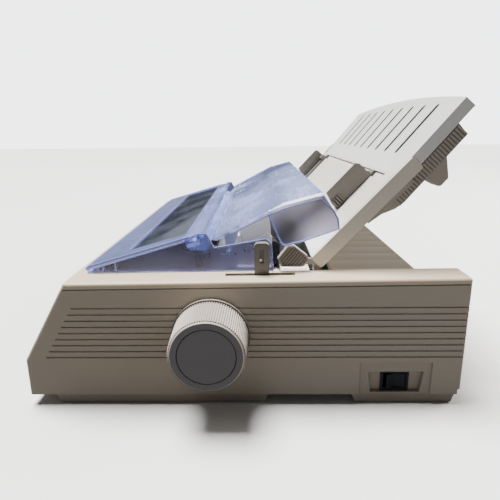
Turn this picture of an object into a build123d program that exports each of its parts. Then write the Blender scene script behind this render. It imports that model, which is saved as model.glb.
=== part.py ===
from build123d import *
import math
import os

# ---------------------------------------------------------------------------
# Desktop dot matrix printer.  Millimetres.  +X is the knob side, -Y the front,
# +Z up.  The origin is on the desk under the middle of the case.
# ---------------------------------------------------------------------------

# Fits
running_fit = 0.05        # radial clearance of a shaft that turns in its bore
seat_fit = 0.03           # radial clearance of a part pushed home on its seat
body_gap = 0.4            # clearance between parts that move past each other
contact_gap = 0.3         # clearance of a cover that rests on another part

# Case
case_width = 420.0
case_depth = 346.5
front_wall = -case_depth / 2
rear_wall = case_depth / 2
case_wall = 3.0
front_deck_height = 104.0      # top of the deck over the front slope
rear_deck_height = 107.0      # top of the deck at the rear wall
nose_height = 40.0            # top of the upright front wall
slope_run = 36.9              # how far the front slope leans back
deck_lip = 4.6              # visible height of the upper case on the side
deck_thickness = 3.0
deck_edge_radius = 2.4
floor_height = 9.4            # underside of the case floor
floor_thickness = 2.6
rear_corner_height = 13.9
rear_corner_step = 2.6
base_height = 0.8  # underside of the two base blocks
base_inset = 3.0
base_taper = 3.7
front_base_start = front_wall + 19.45
front_base_end = front_wall + 193.75
rear_base_start = rear_wall - 86.85
rear_base_end = rear_wall - 2.65
foot_radius = 9.0
foot_recess = 1.4
foot_inset_x = 24.0
foot_inset_y = 36.0

# Side grooves
groove_count = 9
groove_pitch = 5.18
groove_top = 84.0
groove_depth = 0.8
groove_height = 1.3
groove_setback = 15.9     # front slope to the grooves, along Y
groove_return = 14.0      # how far each groove turns on to the rear wall

seam_gap = 0.9            # shadow line between the two halves of the case

# Deck openings
front_opening_margin = 5.0    # skirts' outer face to the opening's edge
rear_opening_margin = 1.0
notch_floor = 76.0            # top of the rear wall under the paper's path
notch_cheek = 2.0
front_opening_start = front_wall + 48.75
rear_opening_start = front_wall + 203.25
rear_opening_end = rear_wall - 34.25
lever_slot_width = 6.5
lever_slot_offset = 8.0       # skirts' outer face to the middle of the lever's slot
lever_slot_start = front_wall + 159.75
lever_slot_end = front_wall + 214.75

# Bosses and screws
boss_radius = 5.0
boss_inset_x = 14.0
front_boss_y = front_wall + 51.25
rear_boss_y = rear_wall - 16.25
boss_ledge_height = 88.0
boss_ledge_thickness = 3.0
screw_radius = 1.5
screw_head_radius = 2.9
screw_head_height = 2.2
screw_length = 9.0

# Platen and knob
platen_y = front_wall + 148.85
platen_z = 61.7
platen_radius = 17.5
platen_core_radius = 14.0
platen_margin = 20.0      # side frame to the roller's end
platen_shaft_radius = 5.0
knob_base_radius = 30.2
knob_grip_radius = 29.2
knob_face_radius = 27.9
knob_stand_off = 35.8
knob_flange = 2.6
knob_rib_count = 96
knob_rib_depth = 1.0
knob_gap = 0.8
knob_cap_radius = 21.0
knob_cap_depth = 3.0
knob_hub_radius = 9.0
knob_wall = 2.6

# Gears (all one module)
gear_module = 1.5
gear_width = 7.0
platen_teeth = 32
idler_teeth = 30
tractor_teeth = 24
pinion_teeth = 12
front_idler_angle = 5.0
rear_idler_angle = 12.0
tractor_angle = -10.0
pinion_angle = -80.0
gear_backlash = 0.35
gear_gap = 4.0             # side frame to the gears' near face
stud_radius = 3.0

# Side frames and chassis pan
frame_margin = 50.0       # case side to the side frames' inner faces
frame_thickness = 1.6
frame_end_height = 40.0
frame_step_height = 64.0
pan_thickness = 1.6
pan_front = front_wall + 23.25
pan_rear = rear_wall - 23.25
rail_y = front_wall + 80.45
rail_top = 40.0
bush_radius = 8.0
bush_flange = 1.2

# Pressure rollers and chute
pressure_radius = 6.0
pressure_shaft_radius = 2.5
pressure_count = 5
pressure_roller_length = 30.0
pressure_pitch = 56.0
chute_radius = 19.2
chute_thickness = 1.2
chute_margin = 10.0

# Carriage and print head
rod_y = front_wall + 107.25
rod_z = 34.0
rod_radius = 5.0
carriage_width = 36.0
carriage_margin = 60.0    # side frame to the parked carriage
carriage_bottom = 27.0
carriage_top = 45.5
carriage_rear = front_wall + 117.25
carriage_front = front_wall + 76.25
head_radius = 19.0
head_core_radius = 15.5
head_front = front_wall + 89.25
head_shoulder = front_wall + 111.25
head_gap = 1.0
fin_count = 6
fin_thickness = 1.6
nose_width = 8.0
nose_rise = 11.0

# Carriage drive
pulley_radius = 8.0
pulley_margin = 20.0      # side frame to a pulley's axis
pulley_z = 42.6
pulley_y = front_wall + 71.25
belt_width = 6.0
belt_thickness = 1.2
motor_size = 36.0
motor_length = 30.0
drive_bracket_y = front_wall + 64.45
motor_shaft_radius = 2.0

# Ribbon cartridge
cartridge_margin = 10.0
cartridge_front = front_wall + 32.25
cartridge_rear = front_wall + 61.25
cartridge_bottom = 66.0
cartridge_height = 16.0
cartridge_arm = 14.0
ribbon_width = 13.0
ribbon_thickness = 0.35
ribbon_knob_radius = 9.0
ribbon_knob_height = 8.0
ribbon_knob_margin = 32.0     # cartridge's end to its winding knob

# Tractors
tractor_margin = 42.0     # side frame to a tractor's middle
tractor_half_width = 12.0
tractor_wall = 3.0
tractor_depth = 17.0        # sprocket axis to the tractor's underside
sprocket_radius = 9.5
sprocket_width = 10.0
sprocket_pins = 8
pin_height = 3.6
square_bar = 6.0
tractor_journal_radius = 3.4
tractor_rail_radius = 3.0
tractor_rail_dy = 19.0
tractor_rail_dz = -10.0
flap_length = 21.0
flap_thickness = 1.8

# Covers (tinted)
cover_margin = 25.0       # deck left clear beside the covers
skirt_thickness = 2.2
skirt_end = front_wall + 197.75
lid_hinge_y = front_wall + 141.25
lid_hinge_rise = 29.69
lid_front_y = front_wall + 45.85
lid_front_rise = 4.91
lid_thickness = 2.6
lid_rim = 1.2
window_start = 33.5
window_end = 82.8
window_margin = 21.0
hinge_pin_radius = 2.0
sill_depth = 1.5
ledge_height = 1.6
skirt_foot = 3.0          # width of the skirts' inner ledge
crossbar_width = 11.0
crossbar_thickness = 3.0
crossbar_drop = 5.4       # lid's top face to the crossbar's
hood_hinge_y = front_wall + 162.65
hood_hinge_rise = 18.78
rear_cover_wall = 2.2
valley_y = front_wall + 149.25
valley_rise = 26.41
crease_y = front_wall + 206.25
crease_rise = 55.36
rear_top_y = front_wall + 235.25
rear_top_rise = 62.68
hood_wall_head = front_wall + 193.75  # depth of the end walls' front edge at its top
hood_wall_foot = front_wall + 204.55  # and at its bottom
hood_edge = 3.4
hood_tail = rear_top_y + 14.4     # where the end walls meet the sheet guide
cover_edge_radius = 5.0

# Paper separator
separator_margin = 15.0
separator_front = front_wall + 169.25
separator_rear = front_wall + 197.25
separator_rib_pitch = 14.0
separator_rib = 1.6
separator_wall = 2.4

# Sheet guide: its top face is a plane that rises to the rear
guide_y = front_wall + 227.85
guide_rise = 9.85
guide_angle = 46.6
guide_length = 108.9
guide_depth = 11.5
guide_wall = 2.5
guide_corner = 2.0
guide_plate_end = 91.5     # where the extension comes out between the rails
track_start = 82.3
track_left_margin = 37.0
track_right_margin = 23.0
track_width = 6.4
extension_inset = 4.2     # guide's side to the extension's
extension_tilt = 3.0      # it rises this much more steeply than the guide
extension_depth = 9.4
extension_corner = 165.0
extension_crown = 175.0
extension_start = 62.0
extension_wall = 2.5
slot_count = 9
slot_margin = 46.0        # extension's side to the outer slots
slot_start = 109.2
slot_end = 164.0
slot_width = 6.5
support_inset = 5.8       # guide's side to the support's
support_wall = 2.5
support_start = 50.0
support_end = 149.0
support_depth = 11.0
rib_count = 26
rib_width = 1.8
rib_proud = 0.8
leg_inset = 7.2
leg_thickness = 16.0
leg_start = 106.0
leg_drop = 15.4
edge_guide_height = 17.5
edge_guide_start = 42.0
edge_guide_end = 83.2
edge_guide_blade = 2.6
edge_guide_foot = 13.0
tongue_depth = 1.0
right_edge_margin = 54.0
left_edge_margin = 41.0
tab_thickness = 6.0
tab_proud = 2.5           # guide's side to the tabs' outer faces
tab_rim = 1.6
tab_pocket = 1.2
tab_rib_count = 9
tab_rib_pitch = 2.8

# Tractor cover
plate_front = front_wall + 245.25
plate_rear = rear_opening_end
plate_drop = 1.0          # deck's top to the plate's wave crests
plate_thickness = 2.5
plate_gap = 0.4
wave_count = 16
wave_height = 1.3
plate_flange = 7.0
plate_wall = 2.5
plate_ledge = 9.0         # width of the shelf that carries the cover
shelf_front = front_wall + 228.25

# Release lever
lever_y = front_wall + 188.45
lever_pivot_z = 40.0
lever_top = 131.2
lever_width = 11.5
lever_neck = 3.0
lever_reach = 70.5        # pivot to the underside of the lever's head
lever_head = 6.0
release_shaft_radius = 3.0

# Power switch
recess_start = rear_wall - 80.85
recess_end = rear_wall - 24.15
recess_top = 37.2
recess_depth = 1.4
well_depth = 5.0
well_head = 22.0          # half width of the well at its top
well_foot = 19.5
bezel_start = rear_wall - 63.25
bezel_end = rear_wall - 40.85
bezel_bottom = 11.1
bezel_top = 28.2
rocker_margin = 2.2
rocker_pin_radius = 1.5
rocker_tilt = 6.0
bezel_rim = 1.2

# Control panel
panel_length = 112.0
panel_height = 34.0
panel_thickness = 1.6
panel_x = 118.0
panel_along = 44.0
button_count = 3
button_length = 20.0
button_height = 8.0
button_pitch = 30.0
button_proud = 1.6
button_travel = 1.5
light_radius = 1.5

# Inside the case
board_start_x = 20.0      # left frame to the board
board_end_x = 110.0       # board to the right frame
board_front = front_wall + 231.25
board_rear = rear_wall - 23.25
board_thickness = 1.6
board_height = 20.0
transformer_margin = 42.0     # its middle to the right frame
transformer_y = rear_wall - 61.25
transformer_size = 58.0
transformer_height = 34.0
port_margin = 92.0        # its middle to the left side of the case
port_width = 66.0
port_height = 15.0
port_z = 38.0
inlet_margin = 62.0       # its middle to the right side of the case
inlet_width = 28.0
inlet_height = 24.0
inlet_z = 34.0

# ---------------------------------------------------------------------------
# Values that follow from the sizes above
# ---------------------------------------------------------------------------
half_width = case_width / 2
half_depth = case_depth / 2
cover_half = half_width - cover_margin
window_half = cover_half - window_margin
separator_half = cover_half - separator_margin
front_opening_half = cover_half - front_opening_margin
rear_opening_half = cover_half - rear_opening_margin
lever_slot_x = cover_half + lever_slot_offset
guide_half = cover_half
extension_half = guide_half - extension_inset
support_half = guide_half - support_inset
leg_outer_x = support_half - leg_inset
track_left = -guide_half + track_left_margin
track_right = guide_half - track_right_margin
right_edge_x = guide_half - right_edge_margin
left_edge_x = -guide_half + left_edge_margin
slot_pitch = 2 * (extension_half - slot_margin) / (slot_count - 1)
slot_first_x = slot_margin - extension_half
frame_half = half_width - frame_margin
platen_length = 2 * (frame_half - platen_margin)
chute_half = frame_half - chute_margin
pulley_x = frame_half - pulley_margin
cartridge_half = frame_half - cartridge_margin
ribbon_knob_x = cartridge_half - ribbon_knob_margin
tractor_spread = frame_half - tractor_margin
carriage_home = carriage_margin - frame_half
board_length = 2 * frame_half - board_start_x - board_end_x
board_depth = board_rear - board_front
board_x = board_start_x - frame_half + board_length / 2
board_y = (board_front + board_rear) / 2
transformer_x = frame_half - transformer_margin
port_x = port_margin - half_width
inlet_x = half_width - inlet_margin
plate_half = rear_opening_half - plate_gap
slope_top_y = -half_depth + slope_run
slope_rise = front_deck_height - nose_height
slope_angle = math.degrees(math.atan2(slope_rise, slope_run))
deck_fall = (rear_deck_height - front_deck_height) / (half_depth - slope_top_y)
floor_top = floor_height + floor_thickness
guide_cos = math.cos(math.radians(guide_angle))
guide_sin = math.sin(math.radians(guide_angle))


def deck(y):
    """Height of the deck's top face at a depth y."""
    return front_deck_height + deck_fall * (y - slope_top_y)


def over_deck(y, height):
    """(y, z) of a point at a height above the deck's top face."""
    return (y, deck(y) + height)


def seam(y):
    """Height of the joint line between the lower and the upper case."""
    return deck(y) - deck_lip


def slope_y(z):
    """Depth of the front slope at a height z."""
    return -half_depth + (z - nose_height) * slope_run / slope_rise


def seam_start():
    """Depth at which the joint line meets the front slope."""
    lean = slope_run / slope_rise
    return slope_y(seam(0)) / (1 - deck_fall * lean)


def on_guide(along, above):
    """(y, z) of a point given along and above the sheet guide's top face."""
    y = guide_y + along * guide_cos - above * guide_sin
    z = guide_z + along * guide_sin + above * guide_cos
    return (y, z)


def on_extension(along, above):
    """(y, z) of a point in the extension's tilted plane, same scale as on_guide."""
    start_y, start_z = on_guide(extension_start, 0.0)
    run = along - extension_start
    turn = math.radians(guide_angle + extension_tilt)
    y = start_y + run * math.cos(turn) - above * math.sin(turn)
    z = start_z + run * math.sin(turn) + above * math.cos(turn)
    return (y, z)


def guide_height(y, above=0.0):
    """Height of a plane parallel to the sheet guide's top face at a depth y."""
    start_y, start_z = on_guide(0.0, above)
    return start_z + (y - start_y) * guide_sin / guide_cos


lid_hinge_z = deck(lid_hinge_y) + lid_hinge_rise
lid_front_z = deck(lid_front_y) + lid_front_rise
hood_hinge_z = deck(hood_hinge_y) + hood_hinge_rise
valley_z = deck(valley_y) + valley_rise
crease_z = deck(crease_y) + crease_rise
rear_top_z = deck(rear_top_y) + rear_top_rise
guide_z = deck(guide_y) + guide_rise
plate_top = deck(plate_front) - plate_drop
plate_underside = plate_top - wave_height - plate_thickness


# ---------------------------------------------------------------------------
# Shape helpers
# ---------------------------------------------------------------------------
def block(x0, x1, y0, y1, z0, z1):
    """Rectangular solid between two corners."""
    shape = Box(x1 - x0, y1 - y0, z1 - z0)
    return Pos((x0 + x1) / 2, (y0 + y1) / 2, (z0 + z1) / 2) * shape


def outline(points, corner=0.0):
    """Closed face through points, with every corner rounded if asked."""
    if corner > 0:
        wire = FilletPolyline(*points, radius=corner, close=True)
    else:
        wire = Polyline(*points, close=True)
    return make_face(wire)


def across(points, x0, x1, corner=0.0):
    """Solid with a side outline in (y, z), between two x positions."""
    profile = Plane.YZ * outline(points, corner)
    return Pos(x0, 0, 0) * extrude(profile, amount=x1 - x0)


def upright(points, y0, y1, corner=0.0):
    """Solid with a front outline in (x, z), between two y positions."""
    profile = Plane.XZ * outline(points, corner)
    return Pos(0, y0, 0) * extrude(profile, amount=-(y1 - y0))


def rod(radius, x0, x1, y, z):
    """Round bar along X."""
    bar = Cylinder(radius, x1 - x0, rotation=(0, 90, 0))
    return Pos((x0 + x1) / 2, y, z) * bar


def rod_along_y(radius, y0, y1, x, z):
    """Round bar along Y."""
    bar = Cylinder(radius, y1 - y0, rotation=(90, 0, 0))
    return Pos(x, (y0 + y1) / 2, z) * bar


def post(radius, z0, z1, x, y):
    """Round bar along Z."""
    return Pos(x, y, (z0 + z1) / 2) * Cylinder(radius, z1 - z0)


def guide_across(points, x0, x1, corner=0.0):
    """Solid with an outline in (along, above) the sheet guide's top face."""
    frame = Plane(
        origin=(x0, guide_y, guide_z),
        x_dir=(0, guide_cos, guide_sin),
        z_dir=(1, 0, 0),
    )
    return extrude(frame * outline(points, corner), amount=x1 - x0)


def guide_plate(face, top, thickness):
    """Face in (x, along) on the sheet guide, extruded downwards from top."""
    plane = Plane(
        origin=(0, guide_y - top * guide_sin, guide_z + top * guide_cos),
        x_dir=(1, 0, 0),
        z_dir=(0, -guide_sin, guide_cos),
    )
    return extrude(plane * face, amount=-thickness)


def extension_across(points, x0, x1):
    """Solid with an outline in (along, above) the extension's plane."""
    return across([on_extension(along, above) for along, above in points], x0, x1)


def extension_plate(face, top, thickness):
    """Face in (x, along) on the extension, extruded downwards from top."""
    turn = math.radians(guide_angle + extension_tilt)
    plane = Plane(
        origin=(0, *on_extension(0, top)),
        x_dir=(1, 0, 0),
        z_dir=(0, -math.sin(turn), math.cos(turn)),
    )
    return extrude(plane * face, amount=-thickness)


def rectangle(x0, x1, y0, y1):
    """Rectangular face in a local plane."""
    return Pos((x0 + x1) / 2, (y0 + y1) / 2) * Rectangle(x1 - x0, y1 - y0)


# ---------------------------------------------------------------------------
# Gears
# ---------------------------------------------------------------------------
def pitch_radius(teeth):
    return gear_module * teeth / 2


def gear_face(teeth, phase):
    """Spur gear outline: straight-flanked teeth, first tooth at phase degrees."""
    root = pitch_radius(teeth) - 1.25 * gear_module
    tip = pitch_radius(teeth) + gear_module
    step = 360.0 / teeth
    half_pitch = (math.pi * gear_module / 2 - gear_backlash) / 2
    points = []
    for tooth in range(teeth):
        middle = phase + tooth * step
        for radius, half in (
            (root, -1.45 * half_pitch),
            (tip, -0.45 * half_pitch),
            (tip, 0.45 * half_pitch),
            (root, 1.45 * half_pitch),
        ):
            turn = math.radians(middle) + half / pitch_radius(teeth)
            points.append((radius * math.cos(turn), radius * math.sin(turn)))
    return outline(points)


def meshing_phase(direction, teeth_a, phase_a, teeth_b):
    """Phase of gear b so that it meshes with gear a in the given direction."""
    share = (direction - phase_a) * teeth_a / 360.0
    return direction + 180.0 - (0.5 - share) * 360.0 / teeth_b


def gear(teeth, phase, x0, centre, bore):
    """Spur gear on an axis along X."""
    y, z = centre
    face = gear_face(teeth, phase) - Circle(bore)
    body = extrude(Plane.YZ * face, amount=gear_width)
    return Pos(x0, y, z) * body


def beside(centre, angle, distance):
    """Point at an angle and a distance from another, in (y, z)."""
    turn = math.radians(angle)
    return (
        centre[0] + distance * math.cos(turn),
        centre[1] + distance * math.sin(turn),
    )


def spacing(teeth_a, teeth_b):
    """Centre distance of two meshing gears."""
    return pitch_radius(teeth_a) + pitch_radius(teeth_b)


platen_centre = (platen_y, platen_z)
front_idler = beside(platen_centre, front_idler_angle, spacing(platen_teeth, idler_teeth))
rear_idler = beside(front_idler, rear_idler_angle, spacing(idler_teeth, idler_teeth))
tractor_centre = beside(rear_idler, tractor_angle, spacing(idler_teeth, tractor_teeth))
pinion_centre = beside(front_idler, pinion_angle, spacing(idler_teeth, pinion_teeth))
front_phase = meshing_phase(front_idler_angle, platen_teeth, 0.0, idler_teeth)
rear_phase = meshing_phase(rear_idler_angle, idler_teeth, front_phase, idler_teeth)
tractor_phase = meshing_phase(tractor_angle, idler_teeth, rear_phase, tractor_teeth)
pinion_phase = meshing_phase(pinion_angle, idler_teeth, front_phase, pinion_teeth)
outer_frame = frame_half + frame_thickness
gear_x = -outer_frame - gear_gap - gear_width
gear_end = gear_x - 1.5
tractor_y, tractor_z = tractor_centre
tractor_rail_y = tractor_y + tractor_rail_dy
tractor_rail_z = tractor_z + tractor_rail_dz
pressure_z = platen_z - platen_radius - contact_gap - pressure_radius


# ---------------------------------------------------------------------------
# Case
# ---------------------------------------------------------------------------
def boss_places():
    """(x, y) of the four case bosses."""
    x = half_width - boss_inset_x
    return [(side * x, y) for side in (-1, 1) for y in (front_boss_y, rear_boss_y)]


def foot_places():
    """(x, y) of the four rubber feet."""
    x = half_width - foot_inset_x
    y = half_depth - foot_inset_y
    return [(side * x, end * y) for side in (-1, 1) for end in (-1, 1)]


def side_outline(inset=0.0, floor=floor_height):
    """Side view of the case up to its joint line."""
    back = half_depth - inset
    low = floor
    front_z = nose_height
    top_y = seam_start() + inset * 1.12
    nose_y = -half_depth + inset
    corner = rear_corner_step if inset == 0 else 0.5
    return [
        (nose_y, low),
        (nose_y, front_z),
        (top_y, seam(top_y)),
        (back, seam(back)),
        (back, rear_corner_height),
        (back - corner, rear_corner_height),
        (back - corner, low),
    ]


def base_outline(start, end, taper_front, taper_rear, depth):
    """Side view of one base block; depth is added below the floor line."""
    top = floor_height + floor_thickness / 2
    return [
        (start, top),
        (start + taper_front, base_height + depth),
        (end - taper_rear, base_height + depth),
        (end, top),
    ]


def slope_plane(x, along):
    """Plane on the front slope, normal outwards, x along +X."""
    turn = math.radians(slope_angle)
    y = -half_depth + along * math.cos(turn)
    z = nose_height + along * math.sin(turn)
    return Plane(origin=(x, y, z), x_dir=(1, 0, 0), z_dir=(0, -math.sin(turn), math.cos(turn)))


def groove_cuts():
    """The nine grooves on each side, turned round the rear corners."""
    cuts = []
    for row in range(groove_count):
        z = groove_top - row * groove_pitch
        start = slope_y(z) + groove_setback
        z0, z1 = z - groove_height / 2, z + groove_height / 2
        for side in (-1, 1):
            inner = side * (half_width - groove_depth)
            outer = side * (half_width + 1)
            x0, x1 = min(inner, outer), max(inner, outer)
            cuts.append(block(x0, x1, start, half_depth + 1, z0, z1))
            turn = side * (half_width - groove_return)
            x0, x1 = min(turn, outer), max(turn, outer)
            cuts.append(block(x0, x1, half_depth - groove_depth, half_depth + 1, z0, z1))
    return cuts


def switch_cuts():
    """Shallow recess, deeper well and bezel hole of the power switch."""
    outer = half_width + 1
    shallow = block(
        half_width - recess_depth, outer, recess_start, recess_end, floor_height - 1, recess_top
    )
    middle = (bezel_start + bezel_end) / 2
    sill = bezel_bottom - 0.3
    well = across(
        [
            (middle - well_foot, sill),
            (middle - well_head, bezel_top + 0.6),
            (middle + well_head, bezel_top + 0.6),
            (middle + well_foot, sill),
        ],
        half_width - well_depth,
        outer,
    )
    hole = block(
        half_width - 12, outer, bezel_start + bezel_rim, bezel_end - bezel_rim,
        bezel_bottom + bezel_rim, bezel_top - bezel_rim,
    )
    return [shallow, well, hole]


def lower_case():
    """Tub with the grooved sides, the front slope and the two base blocks."""
    shell = across(side_outline(), -half_width, half_width)
    upright_edges = [
        e for e in shell.edges()
        if abs(abs(e.center().X) - half_width) < 0.1 and e.length > nose_height / 2
        and e.length < case_depth / 2
    ]
    shell = fillet(upright_edges, deck_edge_radius)
    band = across(
        [
            (-half_depth - 1, seam(-half_depth) - seam_gap), (-half_depth - 1, rear_deck_height),
            (half_depth + 1, rear_deck_height), (half_depth + 1, seam(half_depth) - seam_gap),
        ],
        -half_width - 1, half_width + 1,
    )
    shell -= band - across(side_outline(seam_gap), seam_gap - half_width, half_width - seam_gap)
    base_half = half_width - base_inset
    fronts = base_outline(front_base_start, front_base_end, base_taper, 3.0, 0)
    rears = base_outline(rear_base_start, rear_base_end, base_taper, 3.0, 0)
    shell += across(fronts, -base_half, base_half)
    shell += across(rears, -base_half, base_half)
    inner_half = half_width - case_wall
    inner = side_outline(case_wall, floor_top)
    room = across(inner, -inner_half, inner_half)
    room_top = boss_ledge_height + 2
    room += block(
        -inner_half, inner_half, slope_y(room_top + 5) + 6, half_depth - case_wall,
        room_top, rear_deck_height + 8,
    )
    shell -= room
    well_half = base_half - case_wall
    for start, end in ((front_base_start, front_base_end), (rear_base_start, rear_base_end)):
        points = base_outline(
            start + case_wall, end - case_wall, base_taper, 3.0, floor_thickness
        )
        raised = [(y, z if z < floor_height else floor_top + 1) for y, z in points]
        shell -= across(raised, -well_half, well_half)
    # thicker wall behind the power switch, and the four bosses
    pad = block(
        half_width - 11, inner_half + 0.5, recess_start - 4, recess_end + 4,
        floor_height + 1, recess_top + 3,
    )
    shell += pad
    for x, y in boss_places():
        low = base_height + floor_thickness / 2
        shell += post(boss_radius, low, boss_ledge_height + boss_ledge_thickness, x, y)
    for x, y in boss_places():
        shell -= post(screw_head_radius + 0.6, -1, boss_ledge_height, x, y)
        shell -= post(screw_radius + 0.2, 0, boss_ledge_height + 10, x, y)
    for cut in groove_cuts() + switch_cuts():
        shell -= cut
    for x, y in foot_places():
        shell -= post(foot_radius + 0.2, -1, base_height + foot_recess, x, y)
    # the paper's way in over the rear wall
    notch_half = rear_opening_half + body_gap
    shell -= block(
        -notch_half, notch_half, half_depth - case_wall - 2, half_depth + 1,
        notch_floor, rear_deck_height,
    )
    # knob shaft hole, rear sockets and floor vents
    shell -= rod(platen_shaft_radius + 2.0, inner_half - 5, half_width + 5, platen_y, platen_z)
    rear = (half_depth - case_wall - 2, half_depth + 2)
    shell -= block(
        port_x - port_width / 2, port_x + port_width / 2, *rear,
        port_z - port_height / 2, port_z + port_height / 2,
    )
    shell -= block(
        inlet_x - inlet_width / 2, inlet_x + inlet_width / 2, *rear,
        inlet_z - inlet_height / 2, inlet_z + inlet_height / 2,
    )
    for k in range(9):
        x = (k - 4) * 14.0
        shell -= block(x - 1.75, x + 1.75, front_base_end + 8, rear_base_start - 8, 5, 20)
    # recess and window of the control panel
    plane = slope_plane(panel_x, panel_along)
    recess = Rectangle(panel_length + 0.4, panel_height + 0.4)
    shell -= extrude(plane * recess, amount=-panel_thickness)
    window = Rectangle(panel_length - 8, panel_height - 10)
    shell -= extrude(plane * window, amount=-12)
    return shell


def upper_case():
    """Deck frame with its inner lip, the openings and the lever slot."""
    front_y = seam_start()
    cap = across(
        [
            (front_y, seam(front_y)),
            (slope_top_y, deck(slope_top_y)),
            (half_depth, deck(half_depth)),
            (half_depth, seam(half_depth)),
        ],
        -half_width,
        half_width,
    )
    rear_edge = cap.edges().filter_by(Axis.X).sort_by(Axis.Z)[-1]
    side_edges = [
        e for e in cap.edges()
        if abs(abs(e.center().X) - half_width) < 0.1
        and (e.length < case_depth / 2 or e.center().Z > deck(0) - deck_lip / 2)
    ]
    cap = fillet(side_edges + [rear_edge], deck_edge_radius)
    lip_half = half_width - case_wall - 0.3
    lip_front = front_y + case_wall * 1.12 + 2.5
    lip_rear = half_depth - case_wall - 0.3

    def low(y):
        return seam(y) - 5.0

    lip = across(
        [(lip_front, low(lip_front)), (lip_front, seam(lip_front) + 0.2),
         (lip_rear, seam(lip_rear) + 0.2), (lip_rear, low(lip_rear))],
        -lip_half, lip_half,
    )
    hollow = across(
        [(lip_front + 2, low(lip_front) - 3), (lip_front + 2, deck(lip_front) - deck_thickness),
         (lip_rear - 2, deck(lip_rear) - deck_thickness), (lip_rear - 2, low(lip_rear) - 3)],
        -lip_half + 2, lip_half - 2,
    )
    cap += lip
    cap -= hollow
    for x, y in boss_places():
        top = deck(y) - deck_thickness + 0.5
        low_end = boss_ledge_height + boss_ledge_thickness + 0.2
        cap += post(boss_radius - 0.5, low_end, top, x, y)
        cap -= post(screw_radius - 0.15, low_end - 1, low_end + screw_length, x, y)
    cap -= block(
        -front_opening_half, front_opening_half, front_opening_start, rear_opening_start,
        notch_floor, rear_deck_height + 1,
    )
    cap -= block(
        -rear_opening_half, rear_opening_half, rear_opening_start - 1, half_depth + 1,
        notch_floor, rear_deck_height + 1,
    )
    for side in (-1, 1):
        # cheek beside the paper's way in, and the ledge that carries the tractor cover
        edge = side * rear_opening_half
        cheek = side * (rear_opening_half + notch_cheek)
        cap += block(
            min(edge, cheek), max(edge, cheek), rear_opening_end, half_depth - case_wall - body_gap,
            notch_floor, deck(rear_opening_end) - deck_thickness + 0.5,
        )
        shelf = side * (rear_opening_half - plate_ledge)
        outer = side * (rear_opening_half + 1.0)
        cap += block(
            min(outer, shelf), max(outer, shelf), shelf_front, plate_rear - plate_wall - 1.0,
            plate_underside - deck_thickness, plate_underside,
        )
    cap -= block(
        lever_slot_x - lever_slot_width / 2, lever_slot_x + lever_slot_width / 2,
        lever_slot_start, lever_slot_end, notch_floor, rear_deck_height + 1,
    )
    return cap


def rubber_feet():
    return [
        post(foot_radius, 0, base_height + foot_recess, x, y) for x, y in foot_places()
    ]


def case_screws():
    """Screws that pull the upper case down on to the four bosses."""
    screws = []
    for x, y in boss_places():
        head_top = boss_ledge_height
        head = post(screw_head_radius, head_top - screw_head_height, head_top, x, y)
        shank = post(screw_radius - 0.2, head_top - 0.5, head_top + screw_length, x, y)
        screws.append(head + shank)
    return screws


# ---------------------------------------------------------------------------
# Chassis
# ---------------------------------------------------------------------------
def chassis_pan():
    """Folded steel tray with the carriage rail and the two drive brackets."""
    pan = block(-frame_half, frame_half, pan_front, pan_rear, floor_top, floor_top + pan_thickness)
    half = pan_thickness / 2
    rail = block(-frame_half, frame_half, rail_y - half, rail_y + half, floor_top, rail_top)
    pan += rail
    for side in (-1, 1):
        inner = side * (pulley_x - motor_size / 2)
        outer = side * frame_half
        x0, x1 = min(inner, outer), max(inner, outer)
        bracket = block(
            x0, x1, drive_bracket_y, drive_bracket_y + pan_thickness, floor_top, pulley_z + 17
        )
        pan += bracket
    hole = rod_along_y(6.0, drive_bracket_y - 2, drive_bracket_y + 4, -pulley_x, pulley_z)
    pan -= hole
    stud_end = pulley_y + belt_width / 2 + 2.0
    pan += rod_along_y(motor_shaft_radius, drive_bracket_y, stud_end, pulley_x, pulley_z)
    for k in range(4):
        x = (k - 1.5) * 70
        pan -= block(
            x - 22, x + 22, platen_y - 5.6, platen_y + 64.4, floor_top - 1, floor_top + pan_thickness + 1
        )
    return pan


def frame_outline():
    """Side view of a side frame."""
    return [
        (pan_front, floor_top),
        (pan_front, frame_end_height),
        (pan_front + 4.0, frame_step_height),
        (rod_y + 4.0, frame_step_height),
        (platen_y - 22.0, platen_z + 22.0),
        (platen_y + 22.0, platen_z + 22.0),
        (tractor_y - 16.0, tractor_z + 6.0),
        (tractor_rail_y + 8.0, tractor_z + 6.0),
        (pan_rear, frame_end_height),
        (pan_rear, floor_top),
    ]


def side_frame(side):
    """Steel side frame with its bearing holes; the left one carries gear studs."""
    inner = side * frame_half
    outer = side * outer_frame
    x0, x1 = min(inner, outer), max(inner, outer)
    plate = across(frame_outline(), x0, x1)
    holes = [
        (bush_radius + seat_fit, platen_y, platen_z),
        (pressure_shaft_radius + running_fit, platen_y, pressure_z),
        (rod_radius + seat_fit, rod_y, rod_z),
        (tractor_journal_radius + running_fit, tractor_y, tractor_z),
        (tractor_rail_radius + seat_fit, tractor_rail_y, tractor_rail_z),
    ]
    if side > 0:
        holes.append((release_shaft_radius + running_fit, lever_y, lever_pivot_z))
    else:
        holes.append((7.0, *pinion_centre))
    for radius, y, z in holes:
        plate -= rod(radius, x0 - 1, x1 + 1, y, z)
    if side < 0:
        for y, z in (front_idler, rear_idler):
            plate += rod(stud_radius, gear_end, x1, y, z)
            plate += rod(stud_radius + 2, gear_x + gear_width + body_gap, x1, y, z)
    return plate


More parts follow.
